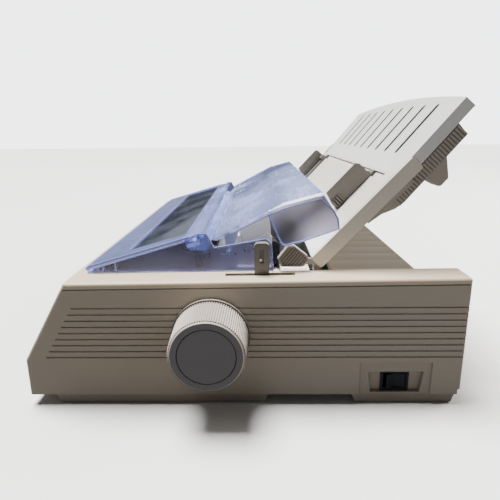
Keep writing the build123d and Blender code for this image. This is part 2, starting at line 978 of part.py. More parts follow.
def platen_bushes():
    """Flanged bushes of the platen shaft."""
    bushes = []
    for side in (-1, 1):
        inner = side * (frame_half - bush_flange)
        outer = side * (outer_frame + 2.5)
        sleeve = rod(bush_radius, min(inner, outer), max(inner, outer), platen_y, platen_z)
        edge = side * frame_half
        flange = rod(
            bush_radius + 2, min(inner, edge), max(inner, edge), platen_y, platen_z
        )
        bush = sleeve + flange
        bush -= rod(platen_shaft_radius + running_fit, -200, 200, platen_y, platen_z)
        bushes.append(bush)
    return bushes


def carriage_rod():
    end = outer_frame + 2.0
    return rod(rod_radius, -end, end, rod_y, rod_z)


def tractor_rail():
    end = outer_frame + 2.0
    return rod(tractor_rail_radius, -end, end, tractor_rail_y, tractor_rail_z)


def paper_chute():
    """Curved sheet under the platen that turns the paper up to the head."""
    start, end = math.radians(215), math.radians(335)
    inner, outer = chute_radius, chute_radius + chute_thickness

    def at(radius, turn):
        return (platen_y + radius * math.cos(turn), platen_z + radius * math.sin(turn))

    middle = (start + end) / 2
    rise = (end + math.pi / 2)
    ramp_length = 44.0
    dy, dz = ramp_length * math.cos(rise), ramp_length * math.sin(rise)
    i_end, o_end = at(inner, end), at(outer, end)
    i_ramp = (i_end[0] + dy, i_end[1] + dz)
    o_ramp = (o_end[0] + dy, o_end[1] + dz)
    wire = [
        ThreePointArc(at(inner, start), at(inner, middle), i_end),
        Line(i_end, i_ramp),
        Line(i_ramp, o_ramp),
        Line(o_ramp, o_end),
        ThreePointArc(o_end, at(outer, middle), at(outer, start)),
        Line(at(outer, start), at(inner, start)),
    ]
    face = Plane.YZ * make_face(wire)
    sheet = Pos(-chute_half, 0, 0) * extrude(face, amount=2 * chute_half)
    for x in pressure_places():
        half = pressure_roller_length / 2 + 1.0
        reach = pressure_radius + 1.0
        sheet -= block(
            x - half, x + half, platen_y - reach, platen_y + reach,
            platen_z - outer - 2, platen_z - inner + 4,
        )
    # brackets that carry the sheet on the pan
    for x in (-chute_half + 2, chute_half - 4):
        foot = across(
            [(platen_y + 12, floor_top + pan_thickness), (platen_y + 8, platen_z - inner - 1.0),
             (platen_y + 14, platen_z - inner + 5.2), (platen_y + 34, floor_top + pan_thickness)],
            x, x + 2,
        )
        tube = rod(outer - 0.4, x - 1, x + 3, platen_y, platen_z)
        sheet += foot - tube
    return sheet


def pressure_places():
    """x of the rubber pressure rollers."""
    middle = (pressure_count - 1) / 2
    return [(k - middle) * pressure_pitch for k in range(pressure_count)]


def pressure_rollers():
    """Shaft with the rubber rollers that nip the paper under the platen."""
    end = outer_frame + 1.5
    shaft = rod(pressure_shaft_radius, -end, end, platen_y, pressure_z)
    for x in pressure_places():
        half = pressure_roller_length / 2
        shaft += rod(pressure_radius, x - half, x + half, platen_y, pressure_z)
    return shaft


# ---------------------------------------------------------------------------
# Platen
# ---------------------------------------------------------------------------
def platen_roller():
    half = platen_length / 2
    sleeve = rod(platen_radius, -half, half, platen_y, platen_z)
    return sleeve - rod(platen_core_radius, -half - 1, half + 1, platen_y, platen_z)


def platen_shaft():
    half = platen_length / 2
    core = rod(platen_core_radius, -half, half, platen_y, platen_z)
    core -= rod(platen_core_radius - 2, half - 8, half + 1, platen_y, platen_z)
    core -= rod(platen_core_radius - 2, -half - 1, -half + 8, platen_y, platen_z)
    tip = half_width + knob_gap + knob_stand_off - knob_cap_depth - 6
    core += rod(platen_shaft_radius, gear_end, tip, platen_y, platen_z)
    return core


def platen_gear():
    body = gear(platen_teeth, 0.0, gear_x, platen_centre, platen_shaft_radius)
    collar_end = -outer_frame - 2.5 - body_gap
    collar = rod(9.0, gear_x + gear_width, collar_end, platen_y, platen_z)
    collar -= rod(platen_shaft_radius, gear_x, collar_end + 1, platen_y, platen_z)
    return body + collar


def ribbed_outline(radius):
    """Round outline with fine pointed ribs."""
    points = []
    for k in range(2 * knob_rib_count):
        turn = math.pi * k / knob_rib_count
        reach = radius if k % 2 == 0 else radius - knob_rib_depth
        points.append((reach * math.cos(turn), reach * math.sin(turn)))
    return outline(points)


def platen_knob():
    """Hand knob: smooth flange, ribbed tapering grip, recessed face."""
    start = half_width + knob_gap
    face_x = start + knob_stand_off
    flange = Cylinder(knob_base_radius, knob_flange, align=(Align.CENTER, Align.CENTER, Align.MIN))
    low = ribbed_outline(knob_grip_radius)
    high = Pos(0, 0, knob_stand_off - knob_flange - 1.2) * ribbed_outline(knob_face_radius)
    grip = Pos(0, 0, knob_flange) * loft([low, high], ruled=True)
    rim = Pos(0, 0, knob_stand_off - 1.2) * Cone(
        knob_face_radius - knob_rib_depth, knob_face_radius - knob_rib_depth - 1.0, 1.2,
        align=(Align.CENTER, Align.CENTER, Align.MIN),
    )
    knob = Plane(origin=(start, platen_y, platen_z), x_dir=(0, 1, 0), z_dir=(1, 0, 0)) * (
        flange + grip + rim
    )
    # hollow back with a hub on the shaft
    inside = rod(
        knob_face_radius - knob_wall - 1, start - 1, face_x - knob_cap_depth - 3, platen_y, platen_z
    )
    inside -= rod(knob_hub_radius, start - 2, face_x, platen_y, platen_z)
    knob -= inside
    knob -= rod(
        knob_cap_radius + 0.35, face_x - knob_cap_depth, face_x + 1, platen_y, platen_z
    )
    tip = face_x - knob_cap_depth - 6
    knob -= rod(platen_shaft_radius, start - 1, tip, platen_y, platen_z)
    return knob


def knob_cap():
    """Disc let into the knob's face."""
    face_x = half_width + knob_gap + knob_stand_off
    disc = rod(knob_cap_radius, face_x - knob_cap_depth, face_x - 0.2, platen_y, platen_z)
    rim = disc.edges().filter_by(GeomType.CIRCLE).sort_by(Axis.X)[-1]
    return fillet(rim, 0.6)


# ---------------------------------------------------------------------------
# Gear train and feed motor
# ---------------------------------------------------------------------------
def front_idler_gear():
    return gear(idler_teeth, front_phase, gear_x, front_idler, stud_radius + running_fit)


def rear_idler_gear():
    return gear(idler_teeth, rear_phase, gear_x, rear_idler, stud_radius + running_fit)


def feed_pinion():
    """Pinion on the feed motor's shaft."""
    y, z = pinion_centre
    body = gear(pinion_teeth, pinion_phase, gear_x, pinion_centre, motor_shaft_radius)
    return body + rod(motor_shaft_radius, gear_end, -frame_half + 6, y, z)


def stepper(length):
    """Square stepper motor with cut corners, its shaft side at x = 0."""
    half = motor_size / 2
    cut = half - 5
    points = [
        (-half, -cut), (-cut, -half), (cut, -half), (half, -cut),
        (half, cut), (cut, half), (-cut, half), (-half, cut),
    ]
    body = across(points, 0, length)
    middle = across([(y * 0.96, z * 0.96) for y, z in points], 6, length - 6)
    waist = across([(y * 1.1, z * 1.1) for y, z in points], 6, length - 6)
    body -= waist - middle
    return body - rod(motor_shaft_radius + running_fit, -1, 8, 0, 0)


def feed_motor():
    y, z = pinion_centre
    return Pos(-frame_half, y, z) * stepper(motor_length)


def tractor_shaft():
    """Square bar with round ends and the driven gear."""
    end = outer_frame
    y, z = tractor_centre
    bar = block(
        -frame_half + 1, frame_half - 1, y - square_bar / 2, y + square_bar / 2,
        z - square_bar / 2, z + square_bar / 2,
    )
    bar += rod(tractor_journal_radius, gear_end, -frame_half + 2, y, z)
    bar += rod(tractor_journal_radius, frame_half - 2, end + 2, y, z)
    wheel = gear(tractor_teeth, tractor_phase, gear_x, tractor_centre, tractor_journal_radius)
    return bar + wheel


# ---------------------------------------------------------------------------
# Tractors
# ---------------------------------------------------------------------------
def tractor_outline():
    """Side view of a tractor body."""
    y, z = tractor_centre
    return [
        (y - 17, z - tractor_depth), (y + 25, z - tractor_depth), (y + 25, z - 2), (y + 15, z + 11),
        (y - 15, z + 11), (y - 17, z + 6),
    ]


def tractor(x):
    """Tractor body: two cheeks joined under and behind the sprocket."""
    y, z = tractor_centre
    body = across(tractor_outline(), x - tractor_half_width, x + tractor_half_width, corner=1.5)
    inner = tractor_half_width - tractor_wall
    floor = z - tractor_depth + tractor_wall
    body -= block(x - inner, x + inner, y - 30, y + 15.5, floor, z + 30)
    body -= rod(tractor_journal_radius * 2.0, x - 20, x + 20, y, z)
    body -= rod(tractor_rail_radius + running_fit, x - 20, x + 20, tractor_rail_y, tractor_rail_z)
    outer = 1 if x > 0 else -1
    ear_x = x + outer * tractor_half_width
    ear_far = ear_x + outer * 4.0
    ears = block(
        min(ear_x, ear_far) - (0.2 if outer > 0 else 0), max(ear_x, ear_far) + (0.2 if outer < 0 else 0),
        y - 13, y - 10, z + 4, z + 13.4,
    )
    ears += block(
        min(ear_x, ear_far) - (0.2 if outer > 0 else 0), max(ear_x, ear_far) + (0.2 if outer < 0 else 0),
        y + 10, y + 13, z + 4, z + 13.4,
    )
    ears -= rod_along_y(1.5 + running_fit, y - 20, y + 20, ear_x + outer * 2.2, z + 11.0)
    return body + ears


def tractor_flap(x):
    """Flap that holds the paper's edge down on the pins."""
    y, z = tractor_centre
    outer = 1 if x > 0 else -1
    hinge_x = x + outer * (tractor_half_width + 2.2)
    low = z + 12.4
    reach = hinge_x - outer * flap_length
    flap = block(min(hinge_x, reach), max(hinge_x, reach), y - 9.4, y + 9.4, low, low + flap_thickness)
    slot_half = sprocket_width / 2 - 1.5
    flap -= block(x - slot_half, x + slot_half, y - 7.5, y + 7.5, low - 1, low + 5)
    flap += rod_along_y(1.5, y - 12.6, y + 12.6, hinge_x, z + 11.0)
    flap += block(hinge_x - 1.4, hinge_x + 1.4, y - 9.4, y + 9.4, z + 11.0, low + flap_thickness)
    return flap


def sprocket(x):
    """Pin wheel on the square bar."""
    y, z = tractor_centre
    wheel = rod(sprocket_radius, x - sprocket_width / 2, x + sprocket_width / 2, y, z)
    for k in range(sprocket_pins):
        turn = 360.0 / sprocket_pins * (k + 0.5)
        pin = Pos(0, 0, sprocket_radius - 1.5) * Cone(
            1.8, 0.9, pin_height + 1.5, align=(Align.CENTER, Align.CENTER, Align.MIN)
        )
        wheel += Pos(x, y, z) * Rot(turn, 0, 0) * pin
    side = square_bar / 2 + 0.15
    return wheel - block(x - 20, x + 20, y - side, y + side, z - side, z + side)


# ---------------------------------------------------------------------------
# Carriage, print head and drive
# ---------------------------------------------------------------------------
head_y = platen_y - platen_radius - head_gap


def carriage():
    """Carriage with its rod bore, rail slot, belt clamp and head seat."""
    x0 = carriage_home - carriage_width / 2
    x1 = carriage_home + carriage_width / 2
    body = block(x0, x1, carriage_front, carriage_rear, carriage_bottom, carriage_top)
    body += block(x0, x1, head_front, head_shoulder + 4, carriage_bottom, platen_z - 10)
    body -= rod(head_radius + 0.3, x0 - 1, x1 + 1, -200, 0)
    body -= rod_along_y(head_radius + 0.3, -110, head_shoulder, carriage_home, platen_z)
    body -= rod_along_y(head_core_radius - 2, -110, -40, carriage_home, platen_z)
    body -= rod(rod_radius + running_fit, x0 - 1, x1 + 1, rod_y, rod_z)
    slot = pan_thickness / 2 + body_gap
    body -= block(x0 - 1, x1 + 1, rail_y - slot, rail_y + slot, 0, rail_top + 1.0)
    belt_top = pulley_z + pulley_radius
    half = belt_width / 2
    clamp = block(
        carriage_home - 8, carriage_home + 8, pulley_y - half - 2.0, carriage_front + 1,
        belt_top - 4.5, belt_top + 3.5,
    )
    riser = block(
        carriage_home - 8, carriage_home + 8, carriage_front, carriage_front + 3.4,
        carriage_top - 2, belt_top + 3.5,
    )
    clamp += riser
    clamp -= block(
        carriage_home - 9, carriage_home + 9, pulley_y - half - body_gap, pulley_y + half + body_gap,
        belt_top - body_gap, belt_top + belt_thickness + body_gap,
    )
    return body + clamp


def print_head():
    """Round finned head whose nose reaches the platen."""
    core = rod_along_y(head_core_radius, head_front, head_shoulder, carriage_home, platen_z)
    pitch = (head_shoulder - head_front - fin_thickness) / (fin_count - 1)
    for k in range(fin_count):
        y = head_front + k * pitch
        core += rod_along_y(head_radius, y, y + fin_thickness, carriage_home, platen_z)
    plane = Plane(
        origin=(carriage_home, head_shoulder - 1, platen_z), x_dir=(1, 0, 0), z_dir=(0, 1, 0)
    )
    wide = Circle(head_core_radius - 3)
    reach = head_y - head_shoulder + 1
    nose = plane * loft([wide, Pos(0, 0, reach * 0.35) * Circle(head_core_radius - 6)])
    blade = extrude(Rectangle(nose_width, nose_rise), amount=reach * 0.7)
    nose += plane * Pos(0, 0, reach * 0.3) * blade
    return core + nose


def belt_outline(radius):
    """Closed belt line round both pulleys, in (x, z)."""
    z0, z1 = pulley_z - radius, pulley_z + radius
    return make_face([
        Line((-pulley_x, z1), (pulley_x, z1)),
        ThreePointArc((pulley_x, z1), (pulley_x + radius, pulley_z), (pulley_x, z0)),
        Line((pulley_x, z0), (-pulley_x, z0)),
        ThreePointArc((-pulley_x, z0), (-pulley_x - radius, pulley_z), (-pulley_x, z1)),
    ])


def carriage_belt():
    """Toothed belt, drawn as a plain loop."""
    face = belt_outline(pulley_radius + belt_thickness) - belt_outline(pulley_radius)
    y0 = pulley_y - belt_width / 2
    return Pos(0, y0, 0) * extrude(Plane.XZ * face, amount=-belt_width)


def pulley(x, bore):
    """Belt pulley with two flanges, on an axis along Y."""
    half = belt_width / 2 + 0.4
    wheel = rod_along_y(pulley_radius - 0.15, pulley_y - half, pulley_y + half, x, pulley_z)
    for y in (pulley_y - half - 1.2, pulley_y + half):
        wheel += rod_along_y(pulley_radius + 2, y, y + 1.2, x, pulley_z)
    return wheel - rod_along_y(bore, pulley_y - 20, pulley_y + 20, x, pulley_z)


def motor_pulley():
    half = belt_width / 2 + 1.6
    shaft = rod_along_y(
        motor_shaft_radius, drive_bracket_y - 5, pulley_y + half, -pulley_x, pulley_z
    )
    return pulley(-pulley_x, motor_shaft_radius) + shaft


def idler_pulley():
    return pulley(pulley_x, motor_shaft_radius + running_fit)


def carriage_motor():
    turned = Rot(0, 0, -90) * stepper(motor_length)
    return Pos(-pulley_x, drive_bracket_y, pulley_z) * turned


# ---------------------------------------------------------------------------
# Ribbon
# ---------------------------------------------------------------------------
ribbon_y = head_y + contact_gap


def ribbon_cartridge():
    """Flat cartridge with two arms that hold the ribbon before the platen."""
    top = cartridge_bottom + cartridge_height
    box = block(
        -cartridge_half, cartridge_half, cartridge_front, cartridge_rear, cartridge_bottom, top
    )
    box = fillet(box.edges().filter_by(Axis.Z), 4)
    lugs = block(
        -frame_half - 5, frame_half + 5, cartridge_front + 8, cartridge_rear - 6,
        cartridge_bottom - 1.7, cartridge_bottom + 3,
    )
    lugs -= block(-frame_half + 4, frame_half - 4, -200, 0, 0, cartridge_bottom + 0.01)
    box += lugs
    for side in (-1, 1):
        x_in, x_out = side * (cartridge_half - cartridge_arm), side * cartridge_half
        x0, x1 = min(x_in, x_out), max(x_in, x_out)
        arm = across(
            [(cartridge_rear - 4, cartridge_bottom), (cartridge_rear - 4, top),
             (cartridge_rear + 30, top), (ribbon_y, platen_z + ribbon_width / 2 + 2),
             (ribbon_y, platen_z - ribbon_width / 2 - 2), (ribbon_y - 14, cartridge_bottom - 8)],
            x0, x1,
        )
        box += arm
    x, y = ribbon_knob_x, (cartridge_front + cartridge_rear) / 2
    box -= post(3.0 + running_fit, top - 8, top + 1, x, y)
    return box


def ribbon():
    """Inked ribbon stretched between the cartridge's arms."""
    half = cartridge_half - cartridge_arm / 2
    low = platen_z - ribbon_width / 2
    return block(-half, half, ribbon_y, ribbon_y + ribbon_thickness, low, low + ribbon_width)


def ribbon_knob():
    """Knob that winds the ribbon tight."""
    x, y = ribbon_knob_x, (cartridge_front + cartridge_rear) / 2
    top = cartridge_bottom + cartridge_height
    points = []
    for k in range(24):
        turn = math.pi * k / 12
        reach = ribbon_knob_radius if k % 2 == 0 else ribbon_knob_radius - 1
        points.append((reach * math.cos(turn), reach * math.sin(turn)))
    grip = Pos(x, y, top + body_gap) * extrude(outline(points), amount=ribbon_knob_height)
    return grip + post(3.0, top - 7, top + 1, x, y)


# ---------------------------------------------------------------------------
# Tinted covers
# ---------------------------------------------------------------------------
lid_run = lid_hinge_y - lid_front_y
lid_rise = lid_hinge_z + 2.0 - lid_front_z
lid_length = math.hypot(lid_run, lid_rise)
lid_angle = math.degrees(math.atan2(lid_rise, lid_run))


def lid_point(along, above):
    """(y, z) along the lid's top face from its front edge, and above it."""
    turn = math.radians(lid_angle)
    return (
        lid_front_y + along * math.cos(turn) - above * math.sin(turn),
        lid_front_z + along * math.sin(turn) + above * math.cos(turn),
    )


def lid_box(x0, x1, start, end, low, high):
    """Slab parallel to the lid."""
    points = [lid_point(start, low), lid_point(end, low), lid_point(end, high), lid_point(start, high)]
    return across(points, x0, x1)


def front_lid():
    """Tinted lid with a raised rim round its window and a hinge pin each side."""
    lid = lid_box(-cover_half, cover_half, 0, lid_length, -lid_thickness, 0)
    lid += lid_box(
        -window_half, window_half, window_start, window_end, -lid_thickness - lid_rim, -0.5
    )
    lid -= lid_box(
        -window_half + 2.5, window_half - 2.5, window_start + 2.5, window_end - 2.5,
        -lid_thickness - lid_rim - 1, -lid_thickness + 0.6,
    )
    lid -= lid_box(-window_half + 1, window_half - 1, window_start + 1, window_end - 1, -0.6, 1)
    front = [
        (lid_front_y, lid_front_z), lid_point(4, 0), lid_point(4, -lid_thickness),
        (lid_front_y + 2.2, lid_front_z - 2.6),
    ]
    lid += across(front, -cover_half, cover_half)
    for side in (-1, 1):
        inner = side * (cover_half - skirt_thickness - body_gap - 5)
        outer = side * (cover_half - skirt_thickness - body_gap)
        x0, x1 = min(inner, outer), max(inner, outer)
        lid += across(
            [(lid_hinge_y - 9, lid_hinge_z - 3.2), lid_point(lid_length - 9, -1),
             lid_point(lid_length, -1), (lid_hinge_y + 2.6, lid_hinge_z - 1.2),
             (lid_hinge_y + 1.2, lid_hinge_z - 3)],
            x0, x1,
        )
        tip = side * (cover_half + 0.6)
        notch_in = side * (cover_half - skirt_thickness - body_gap)
        notch_out = side * (cover_half + 1)
        lid -= lid_box(
            min(notch_in, notch_out), max(notch_in, notch_out), lid_length - 9, lid_length + 1, -6, 1
        )
        lid += rod(hinge_pin_radius, min(inner, tip), max(inner, tip), lid_hinge_y, lid_hinge_z)
    return lid


def cover_frame():
    """Tinted frame: two side skirts, a front sill and the crossbar under the lid."""
    front = front_opening_start - sill_depth
    seat_front = lid_point(6.0, -lid_thickness - contact_gap)
    seat_rear = lid_point(lid_length - 11, -lid_thickness - contact_gap)
    points = [
        (front, deck(front)),
        (front, deck(front) + ledge_height),
        (lid_front_y + 4.6, deck(front) + ledge_height + 0.3),
        seat_front,
        seat_rear,
        (lid_hinge_y - 4.6, lid_hinge_z - 4.2),
        (lid_hinge_y - 3.4, lid_hinge_z + 1.6),
        (lid_hinge_y + 3.4, lid_hinge_z + 1.6),
        (lid_hinge_y + 9.4, lid_hinge_z - 9.8),
        over_deck(skirt_end - 5.8, 26.5),
        over_deck(skirt_end - 1.5, 22.06),
        (skirt_end, deck(skirt_end)),
    ]
    frame = None
    for side in (-1, 1):
        inner = side * (cover_half - skirt_thickness)
        outer = side * cover_half
        x0, x1 = min(inner, outer), max(inner, outer)
        skirt = across(points, x0, x1)
        rail_in = side * (cover_half - skirt_thickness - skirt_foot)
        ledge = across(
            [(front, deck(front)), (front, deck(front) + ledge_height),
             (skirt_end, deck(skirt_end) + ledge_height), (skirt_end, deck(skirt_end))],
            min(rail_in, outer), max(rail_in, outer),
        )
        skirt += ledge
        skirt -= rod(hinge_pin_radius + running_fit, x0 - 1, x1 + 1, lid_hinge_y, lid_hinge_z)
        skirt -= rod(hinge_pin_radius + running_fit, x0 - 1, x1 + 1, hood_hinge_y, hood_hinge_z)
        frame = skirt if frame is None else frame + skirt
    sill_front, sill_rear = front_opening_start - sill_depth, front_opening_start + sill_depth
    sill = across(
        [(sill_front, deck(sill_front)), (sill_front, deck(sill_front) + ledge_height),
         (sill_rear, deck(sill_rear) + ledge_height), (sill_rear, deck(sill_rear))],
        -cover_half + 1, cover_half - 1,
    )
    bar = lid_box(
        -cover_half + 1, cover_half - 1, lid_length - crossbar_width - 4, lid_length - 4,
        -crossbar_drop - crossbar_thickness, -crossbar_drop,
    )
    return frame + sill + bar


def hood_top(y):
    """Height of the hood's rising panel at a depth y."""
    return valley_z + (y - valley_y) * (crease_z - valley_z) / (crease_y - valley_y)


def rear_cover():
    """Tinted hood: rising panel, crease, flatter panel, two end walls."""
    wall = rear_cover_wall
    outer_points = [
        (valley_y, valley_z), (crease_y, crease_z), (rear_top_y, rear_top_z),
        over_deck(rear_top_y + 9.2, 48.79), over_deck(rear_top_y + 13.0, 41.35),
        (hood_tail, guide_height(hood_tail, contact_gap + 0.3)),
        over_deck(hood_wall_foot + 16.7, 24.41), over_deck(hood_wall_foot + 2.4, 20.95),
        over_deck(hood_wall_foot, 21.68),
        (valley_y + 1, valley_z - 1.0),
    ]
    hood = across(outer_points, -cover_half, cover_half)
    side_middle = (valley_z + crease_z) / 2
    top_edges = [
        e for e in hood.edges()
        if abs(abs(e.center().X) - cover_half) < 0.1
        and e.center().Z > side_middle - 1 and e.length > 20
        and e.center().Y < rear_top_y
    ]
    hood = fillet(top_edges, cover_edge_radius)
    rise = math.atan2(crease_z - valley_z, crease_y - valley_y)
    lift = wall / math.cos(rise)
    inside = cover_half - wall
    beyond_y = rear_top_y + 78
    room = across(
        [
            (valley_y - 10, hood_top(valley_y - 10) - lift), (crease_y, crease_z - lift + 0.2),
            (rear_top_y + 0.2, rear_top_z - wall * 1.06), (beyond_y, rear_top_z - wall + 24),
            (beyond_y, deck(beyond_y)), (valley_y - 10, deck(valley_y)),
        ],
        -inside, inside,
    )
    inner_edges = [
        e for e in room.edges()
        if abs(abs(e.center().X) - inside) < 0.1
        and e.center().Z > side_middle - 8 and e.length > 20
        and e.center().Y < rear_top_y
    ]
    room = fillet(inner_edges, cover_edge_radius - wall)
    hood -= room
    # the panel's front part has no end walls, only a turned-down edge
    hood -= across(
        [
            (valley_y - 3, hood_top(valley_y - 3) - lift - 0.6),
            (hood_wall_head, hood_top(hood_wall_head) - hood_edge),
            over_deck(hood_wall_foot, 21.78), over_deck(hood_wall_foot, 4.0),
            over_deck(valley_y - 3, 4.0),
        ],
        -cover_half - 1, cover_half + 1,
    )
    for side in (-1, 1):
        # return flange on the front edge of each end wall
        inner = side * (cover_half - 9)
        outer = side * (cover_half - wall + 0.5)
        head = hood_top(hood_wall_head) - hood_edge
        hood += across(
            [(hood_wall_head + 0.2, head + 1.6), (hood_wall_head + 2.4, head + 2.4),
             over_deck(hood_wall_foot + 2.2, 21.85), over_deck(hood_wall_foot, 21.78)],
            min(inner, outer), max(inner, outer),
        )
        # hinge ear and pin, inside the skirt; the panel is notched over the skirt
        ear_in = side * (cover_half - skirt_thickness - body_gap - 4)
        ear_out = side * (cover_half - skirt_thickness - body_gap)
        y, z = hood_hinge_y, hood_hinge_z
        hood += across(
            [(y - 2.4, z - 1.6), (y - 1.4, z - 2.6), (y + 1.6, z - 2.6), (y + 2.8, z - 1.2),
             (y + 9, hood_top(y + 9) - 1.4), (y - 4, hood_top(y - 4) - 1.4)],
            min(ear_in, ear_out), max(ear_in, ear_out),
        )
        beyond = side * (cover_half + 1)
        hood -= block(
            min(ear_out, beyond), max(ear_out, beyond),
            valley_y - 1, hood_hinge_y + 0.6, valley_z - 5, valley_z + 16,
        )
        pin_tip = side * (cover_half - 0.2)
        hood += rod(hinge_pin_radius, min(ear_in, pin_tip), max(ear_in, pin_tip), y, z)
    return hood


def separator_top(y):
    """Underside of the hood's rising panel, less a clearance."""
    return hood_top(y) - 4.6


def paper_separator():
    """Light ribbed moulding under the rear cover that parts in- and outgoing paper."""
    front, rear = separator_front, separator_rear
    low_front, low_rear = over_deck(front, 6.72), over_deck(rear, 14.95)
    skin = across(
        [low_front, (front, separator_top(front) - 6),
         (front + separator_wall, separator_top(front + separator_wall) - 6),
         over_deck(front + 2.4, 9.09), over_deck(rear, 17.35), low_rear],
        -separator_half, separator_half,
    )
    count = int(2 * (separator_half - 2) / separator_rib_pitch)
    for k in range(count + 1):
        x = (k - count / 2) * separator_rib_pitch
        skin += across(
            [over_deck(front + 1.0, 7.71), (front + 1, separator_top(front + 1) - 1.5),
             (front + 10, separator_top(front + 10)), (rear - 4, separator_top(rear - 4)),
             over_deck(rear - 1.0, 30.46), over_deck(rear - 1.0, 15.96)],
            x - separator_rib / 2, x + separator_rib / 2,
        )
    for side in (-1, 1):
        inner, outer = side * (separator_half - separator_wall), side * separator_half
        foot_out = side * (cover_half - skirt_thickness - skirt_foot - body_gap)
        wall = across(
            [over_deck(front, 0), over_deck(front, 14.72), over_deck(rear - 4.0, 28.48), over_deck(rear, 24.45),
             over_deck(rear, 0)],
            min(inner, outer), max(inner, outer),
        )
        foot = across(
            [over_deck(front, 0), over_deck(front, 2), over_deck(rear, 2), over_deck(rear, 0)],
            min(inner, foot_out), max(inner, foot_out),
        )
        skin += wall + foot
    return skin


# ---------------------------------------------------------------------------
# Sheet guide
# ---------------------------------------------------------------------------
def sheet_guide():
    """Lower plate of the sheet guide with its side rails and the guide track."""
    side = [(0, 0), (guide_length, 0), (guide_length, -guide_depth), (0, -guide_depth)]
    body = guide_across(side, -guide_half, guide_half, guide_corner)
    inner = guide_half - guide_wall
    body -= guide_plate(
        rectangle(-inner, inner, guide_wall, guide_length + 5), -guide_wall, guide_depth
    )
    body -= extension_plate(
        rectangle(-inner, inner, extension_start, guide_length + 5), -guide_wall, guide_depth
    )
    body -= guide_plate(
        rectangle(track_left, track_right, track_start, track_start + track_width), 1, 6
    )
    mouth = extension_half + 0.4
    body -= guide_plate(rectangle(-mouth, mouth, guide_plate_end, guide_length + 1), 1, 6)
    for side in (-1, 1):
        x = side * mouth
        seam_line = rectangle(x - 0.35, x + 0.35, 2, guide_plate_end)
        body -= guide_plate(seam_line, 0.5, 1.0)
        # leg under the plate, standing on the shelf in the case
        inner = side * (rear_opening_half - plate_ledge + 0.6)
        outer = side * (rear_opening_half - plate_ledge + 3.6)
        head, heel = on_guide(0.3, -3.5), on_guide(guide_wall - 0.3, 0.2 - guide_depth)
        body += across(
            [head, (head[0], plate_underside), (heel[0], plate_underside), heel],
            min(inner, outer), max(inner, outer),
        )
    return body


def extension_outline(inset=0.0):
    """Face of the extension in (x, along), with the crowned upper edge."""
    half = extension_half - inset
    crown = extension_crown - inset
    corner = extension_corner - inset
    low = extension_start - (5 if inset > 0 else 0)
    return make_face([
        Line((-half, low), (half, low)),
        Line((half, low), (half, corner)),
        ThreePointArc((half, corner), (0, crown), (-half, corner)),
        Line((-half, corner), (-half, low)),
    ])


def guide_extension():
    """Slotted upper plate that slides down into the sheet guide."""
    top = -guide_wall - contact_gap
    body = extension_plate(extension_outline(), top, extension_depth)
    body -= extension_plate(extension_outline(extension_wall), top - extension_wall, extension_depth)
    for k in range(slot_count):
        x = slot_first_x + k * slot_pitch
        length = slot_end - slot_start - 4.0 * (abs(x) / extension_half) ** 2
        middle = slot_start + length / 2
        slot = Pos(x, middle) * Rot(0, 0, 90) * SlotOverall(length, slot_width)
        body -= extension_plate(slot, top + 1, extension_wall + 2)
    return body


def support_outline(inset=0.0):
    """Side view of the ribbed support under the extension, in (along, above)."""
    top = -guide_wall - extension_depth - 2 * contact_gap - 0.1
    low = top - support_depth
    if inset > 0:
        return [
            (support_start + 14, top + 5), (support_start + 14, top - 1.2),
            (support_start + 30, low + inset + 1.5), (support_start + 36, low + inset),
            (support_end - 3.5, low + inset), (support_end - 3.0, top + 5),
        ]
    return [
        (support_start, top), (support_start, top - 1.2), (support_start + 12, top - 4.0),
        (support_start + 22, low + 1.8), (support_start + 30, low),
        (support_end - 1.5, low), (support_end, top),
    ]


def guide_support():
    """Ribbed tray under the extension, with a hooked leg near each end."""
    body = extension_across(support_outline(), -support_half, support_half)
    body -= extension_across(
        support_outline(support_wall), -support_half + support_wall, support_half - support_wall
    )
    top = -guide_wall - extension_depth - 2 * contact_gap - 0.1
    low = top - support_depth
    first = support_start + 26
    pitch = (support_end - 3 - first) / (rib_count - 1)
    for k in range(rib_count):
        s = first + k * pitch
        for side in (-1, 1):
            inner, outer = side * (support_half - 0.5), side * (support_half + rib_proud)
            body += extension_across(
                [(s, top - 0.6), (s, low + 0.6), (s + rib_width, low + 0.6), (s + rib_width, top - 0.6)],
                min(inner, outer), max(inner, outer),
            )
    for side in (-1, 1):
        outer = side * leg_outer_x
        inner = side * (leg_outer_x - leg_thickness)
        leg = [
            (leg_start, low + 1), (leg_start - 0.8, low - 5), (leg_start + 1.2, low - leg_drop + 1.5),
            (leg_start + 3, low - leg_drop), (leg_start + 10.7, low - leg_drop),
            (leg_start + 13.5, low - leg_drop + 3), (leg_start + 21.6, low - 2.5), (leg_start + 22, low + 1),
        ]
        body += extension_across(leg, min(inner, outer), max(inner, outer))
    # lugs that hang the tray on the sheet guide's rails
    for side in (-1, 1):
        outer = side * (guide_half - 0.2)
        inner = side * (support_half - 1)
        body += guide_across(
            [(support_start + 16, top), (support_start + 16, top - 2), (guide_length - 12, top - 2),
             (guide_length - 12, top)],
            min(inner, outer), max(inner, outer),
        )
        inner = side * (guide_half - guide_wall + 0.2)
        body += guide_across(
            [(support_start + 16, -guide_depth), (support_start + 16, top - 2),
             (guide_length - 12, top - 2), (guide_length - 12, -guide_depth)],
            min(inner, outer), max(inner, outer),
        )
    return body


